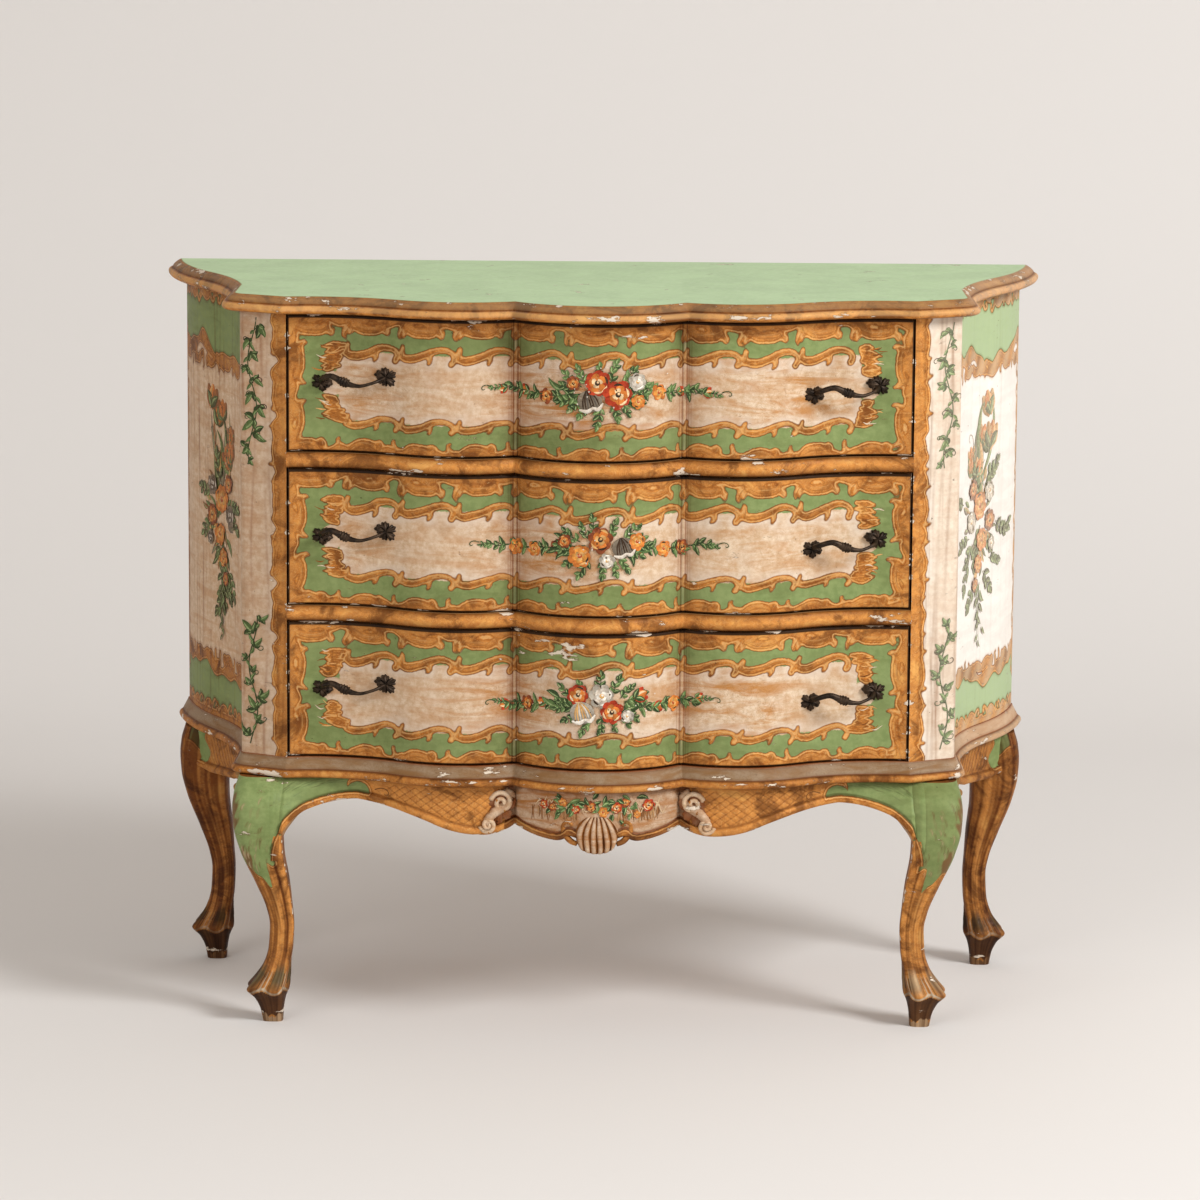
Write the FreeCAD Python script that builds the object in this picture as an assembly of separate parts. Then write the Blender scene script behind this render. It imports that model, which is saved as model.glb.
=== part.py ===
import FreeCAD, Part
import math
import os

Vector = FreeCAD.Vector
UP = Vector(0, 0, 1)
FORWARD = Vector(0, -1, 0)

# Plan of the case, millimetres: straight back, ogee sides, eared corners, serpentine front
opening_width = 759.6
ear_reach = 58.2
notch_inset = 2.0
side_splay = 95.0
turn_width = 480.0
cusp_width = 202.0
corner_depth = 383.0
ear_setback = 29.0
post_depth = 89.0
turn_swell = 27.0
cusp_swell = 31.0
bow_swell = 77.0
side_sagitta = 7.0
hollow_sagitta = 13.0
ear_round = 12.0

# Heights
overall_height = 900.0
top_thickness = 20.5
drawer_height = 166.5
drawer_gap = 1.8
rail_thickness = 18.0
waist_height = 25.0

# Mouldings: how far they stand out, and their profiles as (height share, projection share)
top_overhang = 22.0
top_back_overhang = 18.0
waist_projection = 13.0
waist_frame_width = 45.0
rail_nose = 8.0
top_profile_shares = [(0.00, 0.78), (0.16, 1.00), (0.44, 0.95), (0.60, 0.72), (1.00, 0.32)]
waist_profile_shares = [(0.00, 0.52), (0.12, 1.00), (0.30, 0.92), (0.42, 0.62), (1.00, 0.10)]
nose_profile_shares = [(0.00, 0.20), (0.30, 0.96), (0.70, 0.96), (1.00, 0.20)]

# Case boards
panel_thickness = 16.0
post_wall = 28.0
back_thickness = 8.0
rear_post_size = 35.0
bottom_thickness = 14.0
rail_depth = 70.0
rear_rail_depth = 40.0
runner_width = 46.0
guide_thickness = 12.0
guide_height = 20.0
guide_clearance = 0.6
running_clearance = 0.3
kicker_clearance = 1.5
well_clearance = 4.4
stop_width = 40.0
stop_depth = 16.0
stop_height = 7.0
stop_gap = 0.4
glue_block_size = 34.0
corner_block_size = 58.0
corner_block_height = 36.0
glue_block_shares = [0.12, 0.56]

# Drawer boxes
front_thickness = 18.0
box_inset = 4.0
box_back_clearance = 3.0
side_thickness = 12.0
side_drop = 12.0
box_back_thickness = 12.0
drawer_bottom_thickness = 6.0
drawer_bottom_rise = 9.0
groove_depth = 5.0

# Cast pulls: two screw seats, an S-shaped arm between them
pull_centres = 83.0
pull_inset = 82.8
left_pull_raise = 5.5
right_pull_raise = -2.5
left_pull_tilt = -6.5
right_pull_tilt = -7.0
pull_reach = 24.0
pull_wave = 11.0
arm_radius = 4.4
left_rosette_radius = 11.5
right_rosette_radius = 12.5
rosette_thickness = 4.5
rosette_lobes = 6
rosette_hollow_share = 0.70
rosette_embed = 3.5
arm_sides = 8
arm_shares = [
    (-1.00, -0.10, 0.00, 0.85), (-0.86, 0.60, 0.50, 0.74), (-0.52, 0.98, 0.80, 0.78),
    (-0.26, 1.02, 0.30, 0.98), (-0.20, 1.02, 0.16, 1.24), (-0.05, 1.02, -0.12, 1.24),
    (0.01, 1.02, -0.24, 0.88), (0.16, 1.00, -0.44, 0.64), (0.40, 0.95, -0.56, 0.47),
    (0.78, 0.66, -0.30, 0.46), (1.00, -0.10, 0.00, 0.75)]

# Legs: stations from the floor up as (height share, width share, sway share, tuck share)
front_leg_inset = 50.0
front_leg_setback = 19.0
front_leg_heading = 35.0
rear_leg_inset = 47.0
rear_leg_setback = 46.0
rear_leg_heading = 12.0
front_leg_sway = 33.0
rear_leg_sway = 23.0
front_leg_tuck = 22.0
rear_leg_tuck = 0.0
knee_width = 64.0
leg_round_share = 0.30
leg_corner_facets = 2
leg_shares = [
    (0.000, 0.385, 0.40, 0.00), (0.050, 0.450, 0.44, 0.00), (0.097, 0.590, 0.52, 0.00),
    (0.136, 0.740, 0.64, 0.00), (0.162, 0.680, 0.52, 0.00), (0.195, 0.580, 0.35, 0.00),
    (0.230, 0.510, 0.22, 0.00), (0.300, 0.470, 0.05, 0.00), (0.389, 0.465, 0.00, 0.00),
    (0.457, 0.500, 0.10, 0.00), (0.571, 0.655, 0.41, 0.00), (0.711, 0.845, 0.86, 0.00),
    (0.811, 0.960, 1.00, 0.00), (0.883, 1.000, 1.00, 0.05), (0.941, 0.985, 0.95, 0.35),
    (1.000, 0.920, 0.82, 1.00)]
leg_seat_share = 0.25

# Aprons: lower edges as (run share, drop share), arcs through every other point
apron_thickness = 18.0
apron_inset = 2.0
apron_depth = 62.0
apron_wing_share = 1.22
apron_edge_shares = [
    (1.012, 1.20), (0.972, 0.86), (0.893, 0.61), (0.820, 0.47), (0.745, 0.41), (0.614, 0.56), (0.514, 0.75),
    (0.425, 0.93), (0.350, 0.98), (0.296, 0.93), (0.253, 0.80), (0.200, 0.92),
    (0.130, 0.995), (0.103, 0.96), (0.085, 0.87), (0.045, 0.95), (0.0, 0.97)]
side_apron_depth = 54.0
side_apron_edge_shares = [
    (0.00, 0.52), (0.14, 0.46), (0.30, 0.44), (0.40, 0.49), (0.47, 0.60), (0.54, 0.76),
    (0.61, 0.87), (0.75, 0.98), (0.86, 0.97), (0.93, 0.93), (1.00, 0.87)]
back_rail_thickness = 20.0
back_rail_depth = 46.0

# Carved shell and scrolls at the middle of the apron; the shell is given at its tip and at its rim
shell_ribs = 7
rib_facets = 3
shell_length = 40.0
shell_widths = [14.0, 62.0]
shell_stands = [1.5, 5.0]
shell_bulges = [1.2, 3.6]
shell_drop = 36.0
shell_round_share = 0.96
scroll_height = 46.0
scroll_radius = 6.0
scroll_sweep = 15.0
scroll_embed = 3.0
scroll_shift = 14.0
scroll_sides = 6
scroll_top_gap = 5.0
scroll_shares = [
    (-0.20, 0.02, 0.60), (-0.65, 0.20, 1.00), (-0.15, 0.45, 1.05),
    (0.75, 0.64, 0.95), (1.25, 0.88, 0.82), (0.80, 1.02, 0.60)]

# One overrun serves every cut and trim
overrun = 1500.0

# Levels and places worked out from the sizes above
overall_depth = top_back_overhang + corner_depth + bow_swell + top_overhang
case_back_y = overall_depth / 2 - top_back_overhang
opening_half = opening_width / 2
ear_half = opening_half + ear_reach
notch_half = ear_half - notch_inset
back_half = notch_half + side_splay
pull_x = opening_half - pull_inset
front_half = opening_half - drawer_gap
box_half = front_half - box_inset
top_under = overall_height - top_thickness
drawer_pitch = drawer_height + 2 * drawer_gap + rail_thickness
drawer_names = ["upper", "middle", "lower"]
upper_floor = top_under - drawer_gap - drawer_height
drawer_floors = [upper_floor - level * drawer_pitch for level in range(len(drawer_names))]
case_floor = drawer_floors[-1] - drawer_gap
leg_top = case_floor - waist_height
corner_y = case_back_y - corner_depth
rail_back_y = corner_y + rail_depth
rear_frame_y = case_back_y - back_thickness
rear_post_x = back_half - panel_thickness - rear_post_size
runner_end_y = rear_frame_y - rear_rail_depth
box_back_y = runner_end_y - box_back_clearance
guide_x = box_half + guide_clearance
guide_outer_x = guide_x + guide_thickness
runner_x = guide_outer_x - runner_width


def outward(along):
    return Vector(-along.y, along.x, 0)


def swung(along, angle):
    c = math.cos(angle)
    s = math.sin(angle)
    return Vector(along.x * c - along.y * s, along.x * s + along.y * c, 0)


class Stretch:
    """One line or arc of the plan, walked from the back towards the middle of the front."""

    def __init__(self, start, end, sagitta):
        run = end - start
        along = run * (1 / run.Length)
        self.start = start
        self.end = end
        self.sagitta = sagitta
        self.normal = outward(along)
        self.middle = (start + end) * 0.5 + self.normal * sagitta
        self.half_turn = 2 * math.atan2(2 * sagitta, run.Length)
        self.start_normal = outward(swung(along, self.half_turn))
        self.end_normal = outward(swung(along, -self.half_turn))


def tangent_sagitta(before, end):
    run = end - before.end
    along = run * (1 / run.Length)
    heading = before.end_normal
    normal = outward(along)
    turn = math.atan2(normal.x * heading.y - normal.y * heading.x, normal.dot(heading))
    return run.Length / 2 * math.tan(turn / 2)


def rounded_corner(before, corner, after, radius):
    """Where a rounding of a corner starts and ends, and its sagitta."""
    into = (corner - before).normalize()
    out = (after - corner).normalize()
    half_turn = into.getAngle(out) / 2
    setback = radius * math.tan(half_turn)
    return corner - into * setback, corner + out * setback, radius * (1 - math.cos(half_turn))


def half_plan(ear_radius):
    back_corner = Vector(back_half, case_back_y, 0)
    ear = Vector(ear_half, corner_y + ear_setback, 0)
    notch = Vector(notch_half, ear.y + post_depth, 0)
    side_turn = (back_corner + notch) * 0.5
    corner = Vector(opening_half, corner_y, 0)
    wing_turn = Vector(turn_width / 2, corner_y - turn_swell, 0)
    cusp = Vector(cusp_width / 2, corner_y - cusp_swell, 0)
    hollow = Stretch(corner, wing_turn, -hollow_sagitta)
    side = [Stretch(back_corner, side_turn, side_sagitta), Stretch(side_turn, notch, -side_sagitta)]
    post = [Stretch(notch, ear, 0), Stretch(ear, corner, 0)]
    if ear_radius > 0:
        ear_start, ear_end, ear_sagitta = rounded_corner(notch, ear, corner, ear_radius)
        rounding = Stretch(ear_start, ear_end, ear_sagitta)
        post = [Stretch(notch, ear_start, 0), rounding, Stretch(ear_end, corner, 0)]
    return side + post + [hollow, Stretch(wing_turn, cusp, tangent_sagitta(hollow, cusp))]


sharp_plan = half_plan(0)
rounded_plan = half_plan(ear_round)
notch_y = sharp_plan[2].start.y
cusp_point = sharp_plan[-1].end
bow = Stretch(cusp_point, Vector(-cusp_point.x, cusp_point.y, 0), bow_swell - cusp_swell)


def mitre(before, after):
    return (before + after) * (1 / (1 + before.dot(after)))


def flipped(point):
    return Vector(-point.x, point.y, point.z)


def arc_or_line(start, middle, end, straight):
    if straight:
        return Part.LineSegment(start, end).toShape()
    return Part.Arc(start, middle, end).toShape()


def outline(grow, z, back_grow=0):
    """The closed plan at height z, moved outward by grow, with its straight back moved by back_grow."""
    plan = rounded_plan if grow > -ear_round else sharp_plan
    lift = UP * z
    first = plan[0].start_normal
    slide = Vector(-first.y, first.x, 0) * (back_grow / first.x)
    corners = [plan[0].start + Vector(grow / first.x, 0, 0) + slide + lift]
    for before, after in zip(plan, plan[1:] + [bow]):
        corners.append(before.end + mitre(before.end_normal, after.start_normal) * grow + lift)
    right = []
    left = []
    for stretch, start, end in zip(plan, corners, corners[1:]):
        middle = stretch.middle + stretch.normal * grow + lift
        straight = stretch.sagitta == 0
        right.append(arc_or_line(start, middle, end, straight))
        left.append(arc_or_line(flipped(end), flipped(middle), flipped(start), straight))
    nose = arc_or_line(corners[-1], bow.middle + FORWARD * grow + lift, flipped(corners[-1]), False)
    back = Part.LineSegment(flipped(corners[0]), corners[0]).toShape()
    return Part.Wire(right + [nose] + left[::-1] + [back])


def slab(grow, z0, z1, back_grow=0):
    return Part.Face(outline(grow, z0, back_grow)).extrude(UP * (z1 - z0))


def band(outer, inner, z0, z1):
    return slab(outer, z0, z1).cut(slab(inner, z0, z1))


def moulded(profile, z0, height, projection, back_grow=0):
    levels = [outline(projection * out, z0 + height * up, back_grow) for up, out in profile]
    return Part.makeLoft(levels, True, True)


def block(x0, x1, y0, y1, z0, z1):
    return Part.makeBox(x1 - x0, y1 - y0, z1 - z0, Vector(x0, y0, z0))


def mirrored(shape):
    return shape.mirror(Vector(0, 0, 0), Vector(1, 0, 0))


def face_y(x):
    """Where the serpentine front lies at a given x."""
    for stretch in sharp_plan[-2:] + [bow]:
        if abs(x) >= stretch.end.x:
            break
    half_chord = (stretch.end - stretch.start).Length / 2
    radius = (half_chord ** 2 + stretch.sagitta ** 2) / (2 * stretch.sagitta)
    centre = stretch.middle - stretch.normal * radius
    return centre.y - math.copysign(math.sqrt(radius ** 2 - (abs(x) - centre.x) ** 2), radius)


def skinned(rings, flat):
    """A closed solid over rings of points, with a flat facet or two triangles for each side of each ring."""
    faces = [Part.Face(Part.makePolygon(ring + ring[:1])) for ring in (rings[0], rings[-1])]
    for lower, upper in zip(rings, rings[1:]):
        for index, point in enumerate(lower):
            following = (index + 1) % len(lower)
            facet = [point, lower[following], upper[following], upper[index]]
            halves = [facet] if flat else [facet[:3], [facet[0]] + facet[2:]]
            faces += [Part.Face(Part.makePolygon(half + half[:1])) for half in halves]
    shell = Part.makeShell(faces)
    shell.sewShape()
    solid = Part.makeSolid(shell)
    if solid.Volume < 0:
        solid.reverse()
    return solid


def bar(points, radii, reference, sides):
    """A many-sided bar whose sections stand square to a hand-set route."""
    rings = []
    for index, (point, radius) in enumerate(zip(points, radii)):
        along = points[min(index + 1, len(points) - 1)] - points[max(index - 1, 0)]
        across = along.cross(reference).normalize()
        over = across.cross(along).normalize()
        angles = [2 * math.pi * side / sides for side in range(sides)]
        spokes = [across * math.cos(angle) + over * math.sin(angle) for angle in angles]
        rings.append([point + spoke * radius for spoke in spokes])
    return skinned(rings, False)


def edge_cutter(shares, run_origin, run, top_z, drop, across):
    """Everything below a scalloped lower edge, given in a vertical plane and pushed along across."""
    points = [run_origin + run * along + UP * (top_z - drop * down) for along, down in shares]
    edges = []
    for index in range(0, len(points) - 2, 2):
        edges.append(Part.Arc(points[index], points[index + 1], points[index + 2]).toShape())
    far = UP * (-overrun)
    last, first = points[-1], points[0]
    edges.append(Part.LineSegment(last, last + far).toShape())
    edges.append(Part.LineSegment(last + far, Vector(first.x, first.y, (last + far).z)).toShape())
    edges.append(Part.LineSegment(Vector(first.x, first.y, (last + far).z), first).toShape())
    return Part.Face(Part.Wire(edges)).extrude(across)


# Legs
def leg_section(x, y, z, width):
    rounding = width * leg_round_share
    flat = width / 2 - rounding
    turns = [(1, 1), (-1, 1), (-1, -1), (1, -1)]
    points = []
    for quarter, (sx, sy) in enumerate(turns):
        for step in range(leg_corner_facets + 1):
            angle = math.pi / 2 * (quarter + step / leg_corner_facets)
            turn = Vector(rounding * math.cos(angle), rounding * math.sin(angle), 0)
            points.append(Vector(x + sx * flat, y + sy * flat, z) + turn)
    return points


def leg_centre(x, y, heading, sway, tuck, station):
    _, _, sway_share, tuck_share = station
    angle = math.radians(heading)
    away = sway * sway_share
    return x + away * math.cos(angle), y - away * math.sin(angle) + tuck * tuck_share


def leg(*ankle):
    sections = []
    for station in leg_shares:
        cx, cy = leg_centre(*ankle, station)
        sections.append(leg_section(cx, cy, leg_top * station[0], knee_width * station[1]))
    return skinned(sections, True)


front_ankle = (ear_half - front_leg_inset, corner_y + front_leg_setback, front_leg_heading, front_leg_sway,
               front_leg_tuck)
rear_ankle = (back_half - rear_leg_inset, case_back_y - rear_leg_setback, rear_leg_heading, rear_leg_sway,
              rear_leg_tuck)
front_knee_x, front_knee_y = leg_centre(*front_ankle, leg_shares[-1])
rear_knee_x, rear_knee_y = leg_centre(*rear_ankle, leg_shares[-1])
seat = knee_width * leg_seat_share


# Base: waist frame, bottom board, legs, aprons and blocks
def base_parts():
    front_leg = leg(*front_ankle)
    rear_leg = leg(*rear_ankle)
    legs = [front_leg, mirrored(front_leg), rear_leg, mirrored(rear_leg)]
    frame = moulded(waist_profile_shares, leg_top, waist_height, waist_projection)
    front_x = guide_outer_x + well_clearance
    back_x = back_half - waist_frame_width
    back_y = case_back_y - waist_frame_width
    front_y = corner_y + waist_frame_width
    right = [Vector(front_x, front_y, leg_top), Vector(front_x, notch_y, leg_top)]
    right.append(Vector(back_x, back_y, leg_top))
    rim = right + [flipped(point) for point in right[::-1]]
    well = Part.Face(Part.makePolygon(rim + rim[:1]))
    parts = {
        "waist_moulding": frame.cut(well.extrude(UP * waist_height)),
        "bottom_board": well.extrude(UP * bottom_thickness),
        "right_front_leg": legs[0],
        "left_front_leg": legs[1],
        "right_rear_leg": legs[2],
        "left_rear_leg": legs[3]}
    reach = front_knee_x - seat
    wing_floor = leg_top - apron_depth * apron_wing_share
    apron = band(-apron_inset, -apron_inset - apron_thickness, wing_floor, leg_top)
    apron = apron.common(block(-reach, reach, -overrun, corner_y + rail_depth, 0, leg_top))
    edge = edge_cutter(apron_edge_shares, Vector(0, -overrun, 0), Vector(reach, 0, 0), leg_top, apron_depth,
                       Vector(0, 2 * overrun, 0))
    apron = apron.cut(edge).cut(mirrored(edge))
    parts["front_apron"] = apron.cut(legs[0]).cut(legs[1])
    start_y = front_knee_y + seat
    end_y = rear_knee_y - seat
    side = band(-apron_inset, -apron_inset - panel_thickness, leg_top - side_apron_depth, leg_top)
    side = side.common(block(reach, overrun, start_y, end_y, 0, leg_top))
    edge = edge_cutter(side_apron_edge_shares, Vector(0, start_y, 0), Vector(0, end_y - start_y, 0), leg_top,
                       side_apron_depth, Vector(overrun, 0, 0))
    side = largest(side.cut(edge).cut(legs[0]).cut(legs[2]))
    parts["right_side_apron"] = side
    parts["left_side_apron"] = mirrored(side)
    rear_reach = rear_knee_x - seat
    rail_y = rear_knee_y - back_rail_thickness / 2
    rail_end = rail_y + back_rail_thickness
    rail = block(-rear_reach, rear_reach, rail_y, rail_end, leg_top - back_rail_depth, leg_top)
    parts["base_back_rail"] = rail.cut(legs[2]).cut(legs[3])
    parts["corner_blocks"] = corner_blocks(legs, [parts["front_apron"], side, parts["base_back_rail"]])
    return parts


def corner_blocks(legs, boards):
    z0 = leg_top - corner_block_height
    front_end = front_knee_y + corner_block_size
    rear_start = rear_knee_y - corner_block_size
    front = block(front_knee_x - corner_block_size, front_knee_x, front_knee_y, front_end, z0, leg_top)
    rear = block(rear_knee_x - corner_block_size, rear_knee_x, rear_start, rear_knee_y, z0, leg_top)
    blocks = []
    for piece, own_leg in ((front, legs[0]), (rear, legs[2])):
        inside = piece.common(slab(-apron_inset - panel_thickness, z0, leg_top)).cut(own_leg)
        for board in boards:
            inside = inside.cut(board)
        blocks.append(largest(inside))
    return Part.Compound(blocks + [mirrored(piece) for piece in blocks])


def largest(shape):
    return max(shape.Solids, key=lambda solid: solid.Volume)


# Carving on the apron: a ribbed shell and a pair of C-scrolls
def shell_section(z, width, stand, bulge):
    face = bow.middle.y + apron_inset - stand
    behind = bow.middle.y + apron_inset + apron_thickness
    facets = shell_ribs * rib_facets
    ring = [Vector(width / 2, behind, z), Vector(-width / 2, behind, z)]
    for index in range(facets + 1):
        swell = bulge * abs(math.sin(math.pi * index / rib_facets))
        ring.append(Vector(width * (index / facets - 0.5), face - swell, z))
    return ring


def carving_parts(apron):
    tip_z = leg_top - shell_drop
    levels = [tip_z, tip_z - shell_length]
    sections = [shell_section(*size) for size in zip(levels, shell_widths, shell_stands, shell_bulges)]
    fan = Part.makeCylinder(shell_length * shell_round_share, overrun, Vector(0, 0, tip_z), FORWARD)
    shell = skinned(sections, False).common(fan).cut(apron)
    route = []
    for across, down, _ in scroll_shares:
        x = cusp_point.x + scroll_shift + scroll_sweep * across
        z = leg_top - scroll_top_gap - scroll_height * down
        route.append(Vector(x, face_y(x) + apron_inset - scroll_radius + scroll_embed, z))
    radii = [scroll_radius * share for _, _, share in scroll_shares]
    scroll = largest(bar(route, radii, FORWARD, scroll_sides).cut(apron))
    return {
        "apron_shell": largest(shell),
        "apron_scrolls": Part.Compound([scroll, mirrored(scroll)])}


# Case above the waist
def case_parts():
    side = band(0, -panel_thickness, case_floor, top_under)
    side = side.common(block(0, overrun, notch_y, case_back_y, case_floor, top_under))
    post = band(0, -post_wall, case_floor, top_under)
    post = post.common(block(opening_half, overrun, -overrun, notch_y, case_floor, top_under))
    inside = slab(-panel_thickness, case_floor, top_under)
    rear_post_y = rear_frame_y - rear_post_size
    rear_post = block(rear_post_x, overrun, rear_post_y, rear_frame_y, case_floor, top_under)
    back = block(-overrun, overrun, rear_frame_y, case_back_y, case_floor, top_under).common(inside)
    parts = {
        "top": moulded(top_profile_shares, top_under, top_thickness, top_overhang, top_back_overhang),
        "right_side_panel": side,
        "left_side_panel": mirrored(side),
        "right_front_post": post,
        "left_front_post": mirrored(post),
        "right_rear_post": rear_post.common(inside),
        "left_rear_post": mirrored(rear_post.common(inside)),
        "back_panel": back}
    blocks = []
    block_x = guide_outer_x + kicker_clearance
    block_floor = top_under - glue_block_size
    for share in glue_block_shares:
        y = notch_y + (case_back_y - notch_y) * share
        piece = block(block_x, overrun, y, y + glue_block_size, block_floor, top_under).common(inside)
        blocks.append(piece.cut(slab(-panel_thickness - glue_block_size, block_floor, top_under)))
    parts["top_glue_blocks"] = Part.Compound(blocks + [mirrored(piece) for piece in blocks])
    return parts


# Rails, runners, kickers and stops that carry the drawers
def running_parts():
    parts = {}
    for level, name in enumerate(drawer_names):
        floor = drawer_floors[level]
        rail_top = floor - drawer_gap
        rail_floor = rail_top - rail_thickness
        seat_z = floor - running_clearance
        under = rail_floor
        if level == len(drawer_names) - 1:
            under = leg_top + bottom_thickness
        else:
            rail = moulded(nose_profile_shares, rail_floor, rail_thickness, rail_nose)
            parts[name + "_divider_rail"] = rail.common(
                block(-opening_half, opening_half, -overrun, rail_back_y, rail_floor, rail_top))
            rear_rail = block(-rear_post_x, rear_post_x, runner_end_y, rear_frame_y, rail_floor, rail_top)
            parts[name + "_rear_rail"] = rear_rail
        runner = block(runner_x, guide_outer_x, rail_back_y, runner_end_y, under, seat_z)
        lip = block(guide_x, guide_outer_x, rail_back_y, runner_end_y, seat_z, seat_z + guide_height)
        runner = runner.fuse(lip).removeSplitter()
        parts["right_" + name + "_runner"] = runner
        parts["left_" + name + "_runner"] = mirrored(runner)
    kicker_floor = drawer_floors[0] + drawer_height - side_drop + kicker_clearance
    kicker = block(runner_x, guide_outer_x, rail_back_y, runner_end_y, kicker_floor, top_under)
    parts["right_kicker"] = kicker
    parts["left_kicker"] = mirrored(kicker)
    parts["drawer_stops"] = drawer_stops()
    return parts


def drawer_stops():
    stops = []
    x0 = pull_x - stop_width / 2
    x1 = pull_x + stop_width / 2
    y = max(face_y(x0), face_y(x1)) + front_thickness + stop_gap + stop_depth
    for floor in drawer_floors:
        z0 = floor - drawer_gap
        z1 = z0 + stop_height
        stop = block(x0, x1, -overrun, y, z0, z1).common(slab(-front_thickness - stop_gap, z0, z1))
        stops += [stop, mirrored(stop)]
    return Part.Compound(stops)


# Cast pull in its own frame: screw seats on the x axis, the arm towards -y
def rosette(x, lobe_radius):
    step = math.pi / rosette_lobes
    rim = []
    for index in range(2 * rosette_lobes):
        radius = lobe_radius * (1 if index % 2 == 0 else rosette_hollow_share)
        angle = index * step
        rim.append(Vector(x + radius * math.cos(angle), rosette_embed, radius * math.sin(angle)))
    return Part.Face(Part.makePolygon(rim + rim[:1])).extrude(FORWARD * (rosette_embed + rosette_thickness))


def pull_casting():
    half = pull_centres / 2
    route = [Vector(half * run, -pull_reach * out, pull_wave * up) for run, out, up, _ in arm_shares]
    arm = bar(route, [arm_radius * share for _, _, _, share in arm_shares], UP, arm_sides)
    ends = [rosette(-half, left_rosette_radius), rosette(half, right_rosette_radius)]
    return arm.fuse(ends).removeSplitter()


def pull_placement(side, floor):
    half = pull_centres / 2
    x = side * pull_x
    ends = [Vector(x - half, face_y(x - half), 0), Vector(x + half, face_y(x + half), 0)]
    run = ends[1] - ends[0]
    raised, tilt = (right_pull_raise, right_pull_tilt) if side > 0 else (left_pull_raise, left_pull_tilt)
    middle = (ends[0] + ends[1]) * 0.5 + UP * (floor + drawer_height / 2 + raised)
    turn = FreeCAD.Rotation(UP, math.degrees(math.atan2(run.y, run.x)))
    lean = FreeCAD.Rotation(Vector(0, 1, 0), tilt)
    return FreeCAD.Placement(middle, turn.multiply(lean))


def placed(shape, placement):
    copy = shape.copy()
    copy.transformShape(placement.toMatrix())
    return copy


# Drawers
def drawer_parts(name, floor, casting):
    top = floor + drawer_height
    side_top = top - side_drop
    panel_floor = floor + drawer_bottom_rise
    panel_top = panel_floor + drawer_bottom_thickness
    inner_half = box_half - side_thickness
    front = band(0, -front_thickness, floor, top)
    front = front.common(block(-front_half, front_half, -overrun, corner_y + rail_depth, floor, top))
    panel_half = inner_half + groove_depth
    bottom = slab(-front_thickness, panel_floor, panel_top)
    bottom = bottom.common(block(-panel_half, panel_half, -overrun, box_back_y, panel_floor, panel_top))
    side = block(inner_half, box_half, -overrun, box_back_y, floor, side_top)
    side = side.common(slab(-front_thickness, floor, side_top)).cut(bottom)
    back = block(-inner_half, inner_half, box_back_y - box_back_thickness, box_back_y, panel_top, side_top)
    parts = {}
    for side_name, sign in (("left", -1), ("right", 1)):
        pull = placed(casting, pull_placement(sign, floor)).cut(front)
        parts[side_name + "_" + name + "_pull"] = largest(pull)
    parts[name + "_drawer_front"] = front
    parts["right_" + name + "_drawer_side"] = side
    parts["left_" + name + "_drawer_side"] = mirrored(side)
    parts[name + "_drawer_back"] = back
    parts[name + "_drawer_bottom"] = bottom
    return parts


def build():
    parts = base_parts()
    parts.update(carving_parts(parts["front_apron"]))
    parts.update(case_parts())
    parts.update(running_parts())
    casting = pull_casting()
    for name, floor in zip(drawer_names, drawer_floors):
        parts.update(drawer_parts(name, floor, casting))
    return parts


os.makedirs("parts", exist_ok=True)
for node, shape in build().items():
    if not shape.isValid():
        print("not valid:", node)
    print(node, len(shape.Solids), round(shape.Volume))
    shape.exportStep("parts/" + node + ".step")
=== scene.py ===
import bpy
import math
import numpy as np
from mathutils import Matrix, Vector
from mathutils.geometry import tessellate_polygon


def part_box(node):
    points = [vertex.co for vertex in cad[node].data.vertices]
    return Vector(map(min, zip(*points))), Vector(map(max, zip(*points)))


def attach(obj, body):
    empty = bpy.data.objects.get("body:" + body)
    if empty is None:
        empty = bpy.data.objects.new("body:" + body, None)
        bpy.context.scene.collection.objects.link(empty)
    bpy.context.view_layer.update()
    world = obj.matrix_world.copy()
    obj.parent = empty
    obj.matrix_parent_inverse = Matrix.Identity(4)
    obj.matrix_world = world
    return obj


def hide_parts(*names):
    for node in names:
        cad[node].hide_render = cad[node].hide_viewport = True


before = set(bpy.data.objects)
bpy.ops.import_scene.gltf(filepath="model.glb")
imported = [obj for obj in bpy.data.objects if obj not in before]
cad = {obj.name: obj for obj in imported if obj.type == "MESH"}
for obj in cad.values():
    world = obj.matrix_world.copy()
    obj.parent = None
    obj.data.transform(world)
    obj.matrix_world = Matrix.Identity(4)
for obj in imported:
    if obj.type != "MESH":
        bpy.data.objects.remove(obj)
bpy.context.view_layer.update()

# Sizes in millimetres, as in the part's source
METRE = 0.001
CASE_BACK = 232.0
CORNER_Y = -151.0
OPENING = 379.8
FRONT_HALF = 378.0
TOP_UNDER = 879.5
TOP_Z = 900.0
CASE_FLOOR = 333.2
LEG_TOP = 308.2
DRAWER_H = 166.5
FLOORS = {"upper": 711.2, "middle": 523.1, "lower": 335.0}
SIDE_WORD = {-1: "left_", 1: "right_"}

# Plan of the right half: its corners, and the rises of its arcs
BACK_CORNER = (531.0, CASE_BACK)
NOTCH = (436.0, -33.0)
EAR = (438.0, -122.0)
FRONT_CORNER = (OPENING, CORNER_Y)
TURN = (240.0, CORNER_Y - 27)
CUSP = (101.0, CORNER_Y - 31)
EAR_RADIUS = 12.0
OGEE_RISE = 7.0
HOLLOW_RISE = -13.0
BOW_RISE = 46.0
ARC_POINTS = 240


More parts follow.
